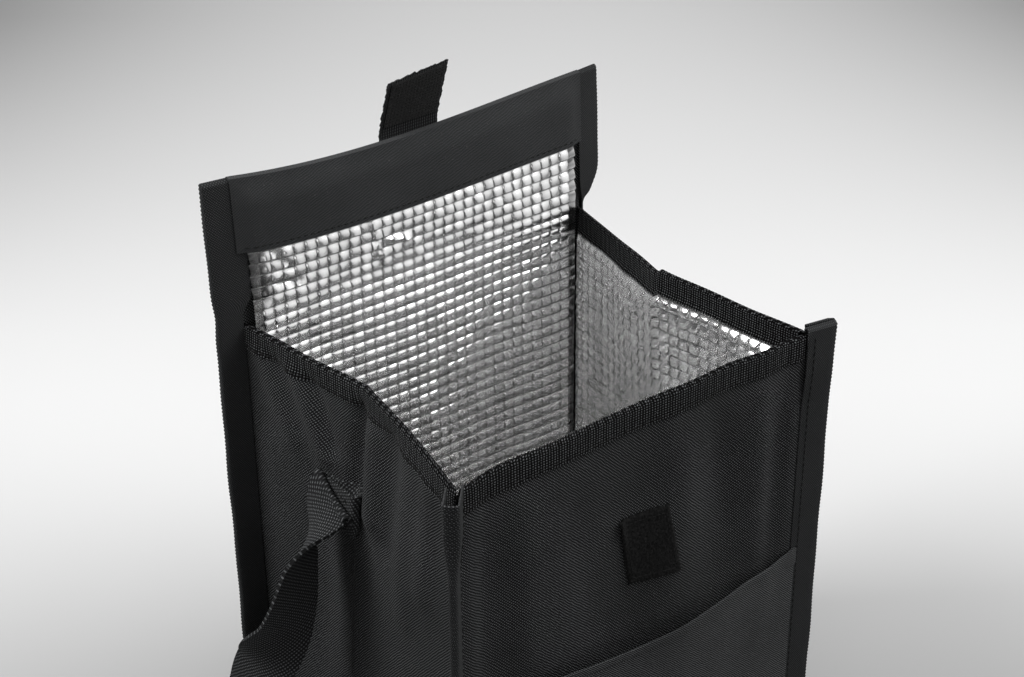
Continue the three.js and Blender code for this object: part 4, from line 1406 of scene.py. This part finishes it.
# %% [markdown]
# ## Webbing handle
# The strap is one length of webbing. It folds over its sewn end, hangs down beside the bag, turns over once
# on each side and runs behind the back. The route is a smooth curve through a few points, which follow the
# photograph where the strap shows in it, and the webbing's width turns about that curve.

# %% Strap route
STRAP_WIDTH = 25 * MM
STRAP = 1.2 * MM
STRAP_WAY = [
    (94.0, 15.2, 160.6), (101.6, 17.3, 130.2), (109.6, 34.0, 92.3), (110.1, 51.7, 55.6), (103.5, 76.3, 24.1),
    (85.5, 90.3, 13.7),
]
STRAP_MIDDLE = (0.0, 91.3, 12.0)
STRAP_TURNS = [(0, 0), (15, 37), (30, 65), (45, 78), (60, 94), (75, 125), (90, 162), (110, 174), (140, 180)]
STRAP_HEAD = [(80.2, 0.0, -4.5), (80.2, 0.0, -1.0), (81.3, 0.05, 0.6), (83.0, 0.4, -1.6)]


def between(first, last, low, high, t):
    """From first to last, as t goes from low to high."""
    return (high - t) / (high - low) * first + (t - low) / (high - low) * last


def centripetal(points, per_span=24):
    """A smooth curve through the points that doesn't overshoot where they lie close together."""
    points = np.vstack([2 * points[0] - points[1], points, 2 * points[-1] - points[-2]])
    curve = []
    for p0, p1, p2, p3 in zip(points, points[1:], points[2:], points[3:]):
        t0 = 0.0
        t1 = t0 + math.sqrt(np.linalg.norm(p1 - p0))
        t2 = t1 + math.sqrt(np.linalg.norm(p2 - p1))
        t3 = t2 + math.sqrt(np.linalg.norm(p3 - p2))
        t = np.linspace(t1, t2, per_span, endpoint=False)[:, None]
        a1 = between(p0, p1, t0, t1, t)
        a2 = between(p1, p2, t1, t2, t)
        a3 = between(p2, p3, t2, t3, t)
        b1 = between(a1, a2, t0, t2, t)
        b2 = between(a2, a3, t1, t3, t)
        curve.append(between(b1, b2, t1, t2, t))
    return np.vstack(curve + [points[-2][None, :]])


left_half = [(-x, SWING_Y / MM + y, SWING_Z / MM + z) for x, y, z in STRAP_HEAD]
left_half += [(-x, y, z) for x, y, z in STRAP_WAY]
route = left_half + [STRAP_MIDDLE] + [(-x, y, z) for x, y, z in reversed(left_half)]
strap_curve = centripetal(np.array(route) * MM)
strap_run = along(strap_curve)
STRAP_LENGTH = strap_run[-1]
print("strap length", round(STRAP_LENGTH, 3), "m")

# %% Strap
HEAD_RUN = 9 * MM
HEAD_FADE = 26 * MM
HEAD_PULL = 4 * MM
HEAD_DROP = 8 * MM
STRAP_STEP = 1.5 * MM
STRAP_HINT = np.array([0.0, 1.0, 0.2])
STRAP_TEETH = 0.05 * MM
STRAP_PITCH = 1.5 * MM
STRAP_CROWN = 0.25 * MM


def on_strap(run):
    """The point of the route at a length along it."""
    return np.stack([np.interp(run, strap_run, strap_curve[:, k]) for k in range(3)], axis=-1)


def unit(vectors):
    return vectors / np.linalg.norm(vectors, axis=-1, keepdims=True)


def strap_place(across, run):
    """The webbing turns about its route, and near its ends it is gathered and drops at its front edge."""
    tangent = unit(on_strap(run + STRAP_STEP) - on_strap(run - STRAP_STEP))
    level = unit(STRAP_HINT - (tangent @ STRAP_HINT)[..., None] * tangent)
    inward = np.cross(tangent, level)
    from_end = np.minimum(run, STRAP_LENGTH - run) - HEAD_RUN
    turn = np.radians(np.interp(from_end / MM, *zip(*STRAP_TURNS)))[..., None]
    width = inward * np.sin(turn) + level * np.cos(turn)
    face = inward * np.cos(turn) - level * np.sin(turn)
    edge = np.abs(across) > STRAP_WIDTH / 2 - 0.1 * MM
    tooth = STRAP_TEETH * np.cos(2 * math.pi * run / STRAP_PITCH) * edge * np.sign(across)
    crown = STRAP_CROWN * (1 - (2 * across / STRAP_WIDTH) ** 2)
    head = smooth(1 - from_end / HEAD_FADE)
    to_back = 0.5 + across / STRAP_WIDTH
    pulled = across + tooth - HEAD_PULL * head * to_back
    spot = on_strap(run) + width * pulled[..., None] + face * crown[..., None]
    return spot[..., 0], spot[..., 1], spot[..., 2] - HEAD_DROP * head * (1 - to_back)


strap = lay_cloth("handle_webbing", spread(-STRAP_WIDTH / 2, STRAP_WIDTH / 2, 16),
                  spread(0, STRAP_LENGTH, round(STRAP_LENGTH / (0.5 * MM))), strap_place)
strap = dress(thicken(strap, STRAP, 0.0), WEBBING, ["handle_strap"])
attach(strap, "handle")

# %% Sewn ends, rolled over at their front edge
ANCHOR_LENGTH = 20 * MM
SEWN_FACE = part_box("right_handle_anchor")[1].x
PLY = 0.9 * MM
PLY_STEPS = 12
ROLL_STEPS = 8
ply_front = SWING_Y - STRAP_WIDTH / 2 + 1.5 * MM
ply_back = SWING_Y + STRAP_WIDTH / 2
ROLLED = np.arange(2 * PLY_STEPS + ROLL_STEPS + 1)


def rolled_ply(column, z, side):
    """Webbing that lies flat outside, turns round at its front edge and lies back on the gusset."""
    outside = np.clip(column / PLY_STEPS, 0, 1)
    roll = np.clip((column - PLY_STEPS) / ROLL_STEPS, 0, 1)
    inside = np.clip((column - PLY_STEPS - ROLL_STEPS) / PLY_STEPS, 0, 1)
    flat_y = ply_back + (ply_front - ply_back) * outside + (ply_back - 2 * MM - ply_front) * inside
    on_gusset = HALF_WIDTH - gusset_shift(flat_y, z, side) + 0.5 * MM
    radius = (SEWN_FACE - on_gusset) / 2
    x = SEWN_FACE - radius * (1 - np.cos(math.pi * roll))
    return side * x, flat_y - radius * np.sin(math.pi * roll), z


SEWN_BOX = np.array([(-9, -18), (9, -18), (9, -4), (-9, -4), (-9, -18), (9, -4), (9, -18), (-9, -4)]) * MM
BOX_STITCHES = 33
BOX_RUN = BOX_STITCHES * STITCH_PITCH


def sewn_box(run, side):
    """A box with a cross in it, sewn through the outer ply."""
    box_run = along(SEWN_BOX)
    share = run / BOX_RUN * box_run[-1]
    y = SWING_Y + 1 * MM + np.interp(share, box_run, SEWN_BOX[:, 0])
    return side * (SEWN_FACE + 0.05 * MM) + 0 * y, y, SWING_Z + np.interp(share, box_run, SEWN_BOX[:, 1])


anchor_rows = spread(SWING_Z - ANCHOR_LENGTH, SWING_Z - 0.5 * MM, 40)
for side, name in SIDES:
    anchor = lay_cloth(f"{name}_sewn_end", ROLLED if side < 0 else ROLLED[::-1], anchor_rows,
                       lambda column, z: rolled_ply(column, z, side))
    anchor = dress(thicken(anchor, PLY), WEBBING, [f"{name}_handle_anchor"])
    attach(anchor, "bag")
    row = sew(f"{name}_box_stitches", lambda run: sewn_box(run, side), 0, BOX_RUN)
    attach(row, "bag")

# %% [markdown]
# ## Stage and light
# A plain floor whose colour is painted with the fall of light: paler towards the back of the picture and
# dimmer at its far sides. Four soft lamps, and a sky that is brightest above the front right. The floor and
# the sky are pale for the camera and for what is mirrored in metal, and darker for the light that falls on
# cloth. Beyond the floor the camera sees an even grey. The lamps are set so that a colour renders about as it
# is written.

# %% Floor
FLOOR_SIZE = 6.0
FLOOR_BOUNCE = 0.1
# Painted light on the floor: its colour from the front to the back of the picture, and how dim its far sides
# are painted.
FLOOR_GLOW = [(-0.3, 0.3), (0.07, 0.41), (0.2, 0.59), (0.33, 0.76), (0.5, 0.84), (0.72, 0.92), (1.0, 1.0),
              (1.6, 0.9)]
FLOOR_DIM = 0.3
FLOOR_ASIDE = 0.54
FLOOR_ROUGHNESS = 0.9


def seen_by_metal(tree):
    """1 for what the camera sees, straight or in metal or glass, and 0 for the light that falls on cloth."""
    rays = tree.nodes.new("ShaderNodeLightPath").outputs
    mirrored = calc(tree, "MAXIMUM", rays["Is Glossy Ray"], rays["Is Transmission Ray"])
    return calc(tree, "MAXIMUM", rays["Is Camera Ray"], mirrored)


bm = bmesh.new()
bmesh.ops.create_grid(bm, x_segments=1, y_segments=1, size=FLOOR_SIZE)
floor_mesh = bpy.data.meshes.new("floor")
bm.to_mesh(floor_mesh)
bm.free()
floor = bpy.data.objects.new("floor", floor_mesh)
bpy.context.scene.collection.objects.link(floor)
floor_material, tree, shader = new_material("floor_paper")
place = tree.nodes.new("ShaderNodeTexCoord").outputs["Object"]
turned = tree.nodes.new("ShaderNodeVectorRotate")
turned.rotation_type = "Z_AXIS"
turned.inputs["Angle"].default_value = -CAMERA_AZIMUTH
feed(tree, turned.inputs["Vector"], place)
floor_parts = tree.nodes.new("ShaderNodeSeparateXYZ")
feed(tree, floor_parts.inputs[0], turned.outputs[0])
depth = ramp(tree, floor_parts.outputs[1], FLOOR_GLOW[0][0], FLOOR_GLOW[-1][0])
glow = tree.nodes.new("ShaderNodeValToRGB")
glow.color_ramp.interpolation = "B_SPLINE"
reach = FLOOR_GLOW[-1][0] - FLOOR_GLOW[0][0]
for k, (at, level) in enumerate(FLOOR_GLOW):
    spot = (at - FLOOR_GLOW[0][0]) / reach
    stop = glow.color_ramp.elements[k] if k < 1 else glow.color_ramp.elements.new(spot)
    stop.position = spot
    stop.color = grey(level)
glow.color_ramp.elements.remove(glow.color_ramp.elements[-1])
feed(tree, glow.inputs["Fac"], depth)
across = calc(tree, "ABSOLUTE", calc(tree, "DIVIDE", floor_parts.outputs[0], FLOOR_ASIDE))
far = ramp(tree, floor_parts.outputs[1], low=0.4, high=0.95)
in_corner = calc(tree, "MULTIPLY", calc(tree, "POWER", across, 2.0), far)
# Painted light: the floor's colour follows the fall of light and is painted dimmer in its far corners.
painted_floor_light = mixed(tree, in_corner, glow.outputs["Color"], grey(FLOOR_DIM))
shown = seen_by_metal(tree)
feed(tree, shader.inputs["Base Color"], mixed(tree, shown, grey(FLOOR_BOUNCE), painted_floor_light))
shader.inputs["Roughness"].default_value = FLOOR_ROUGHNESS
floor_mesh.materials.append(floor_material)


# %% Lamps and world
def soft_lamp(name, spot, target, size, power):
    lamp = bpy.data.objects.new(name, bpy.data.lights.new(name, "AREA"))
    lamp.data.shape = "RECTANGLE"
    lamp.data.size, lamp.data.size_y = size
    lamp.data.energy = power
    lamp.location = spot
    lamp.rotation_euler = (Vector(target) - Vector(spot)).to_track_quat("-Z", "Y").to_euler()
    bpy.context.scene.collection.objects.link(lamp)


soft_lamp("key", (-0.42, 0.22, 0.66), (-0.08, 0.0, 0.2), size=(0.3, 0.3), power=5.5)
soft_lamp("top", (0.45, -0.35, 0.85), (0.03, -0.05, 0.2), size=(0.5, 0.5), power=7.0)
soft_lamp("front_right", (0.75, -1.15, 0.55), (0, 0, 0.2), size=(1.4, 1.0), power=2.0)
soft_lamp("front_left", (-0.75, -1.0, 0.5), (0, 0, 0.2), size=(1.0, 0.8), power=3.5)

SKY_BRIGHT = Vector((0.4, -0.2, 0.9)).normalized()
BACKDROP = 0.5
world = bpy.data.worlds.new("studio")
world.use_nodes = True
tree = world.node_tree
towards = tree.nodes.new("ShaderNodeVectorMath")
towards.operation = "DOT_PRODUCT"
feed(tree, towards.inputs[0], tree.nodes.new("ShaderNodeTexCoord").outputs["Generated"])
towards.inputs[1].default_value = SKY_BRIGHT
soft_sky = ramp(tree, towards.outputs["Value"], low=0.1, high=0.9, dark=0.1, light=0.5)
pale_sky = ramp(tree, towards.outputs["Value"], low=0.2, high=0.8, dark=0.05, light=1.0)
shown = seen_by_metal(tree)
sky = calc(tree, "MULTIPLY_ADD", shown, calc(tree, "SUBTRACT", pale_sky, soft_sky), soft_sky)
straight = tree.nodes.new("ShaderNodeLightPath").outputs["Is Camera Ray"]
feed(tree, tree.nodes["Background"].inputs["Color"],
     calc(tree, "MULTIPLY_ADD", straight, calc(tree, "SUBTRACT", BACKDROP, sky), sky))
bpy.context.scene.world = world
bpy.context.scene.view_settings.view_transform = "Standard"
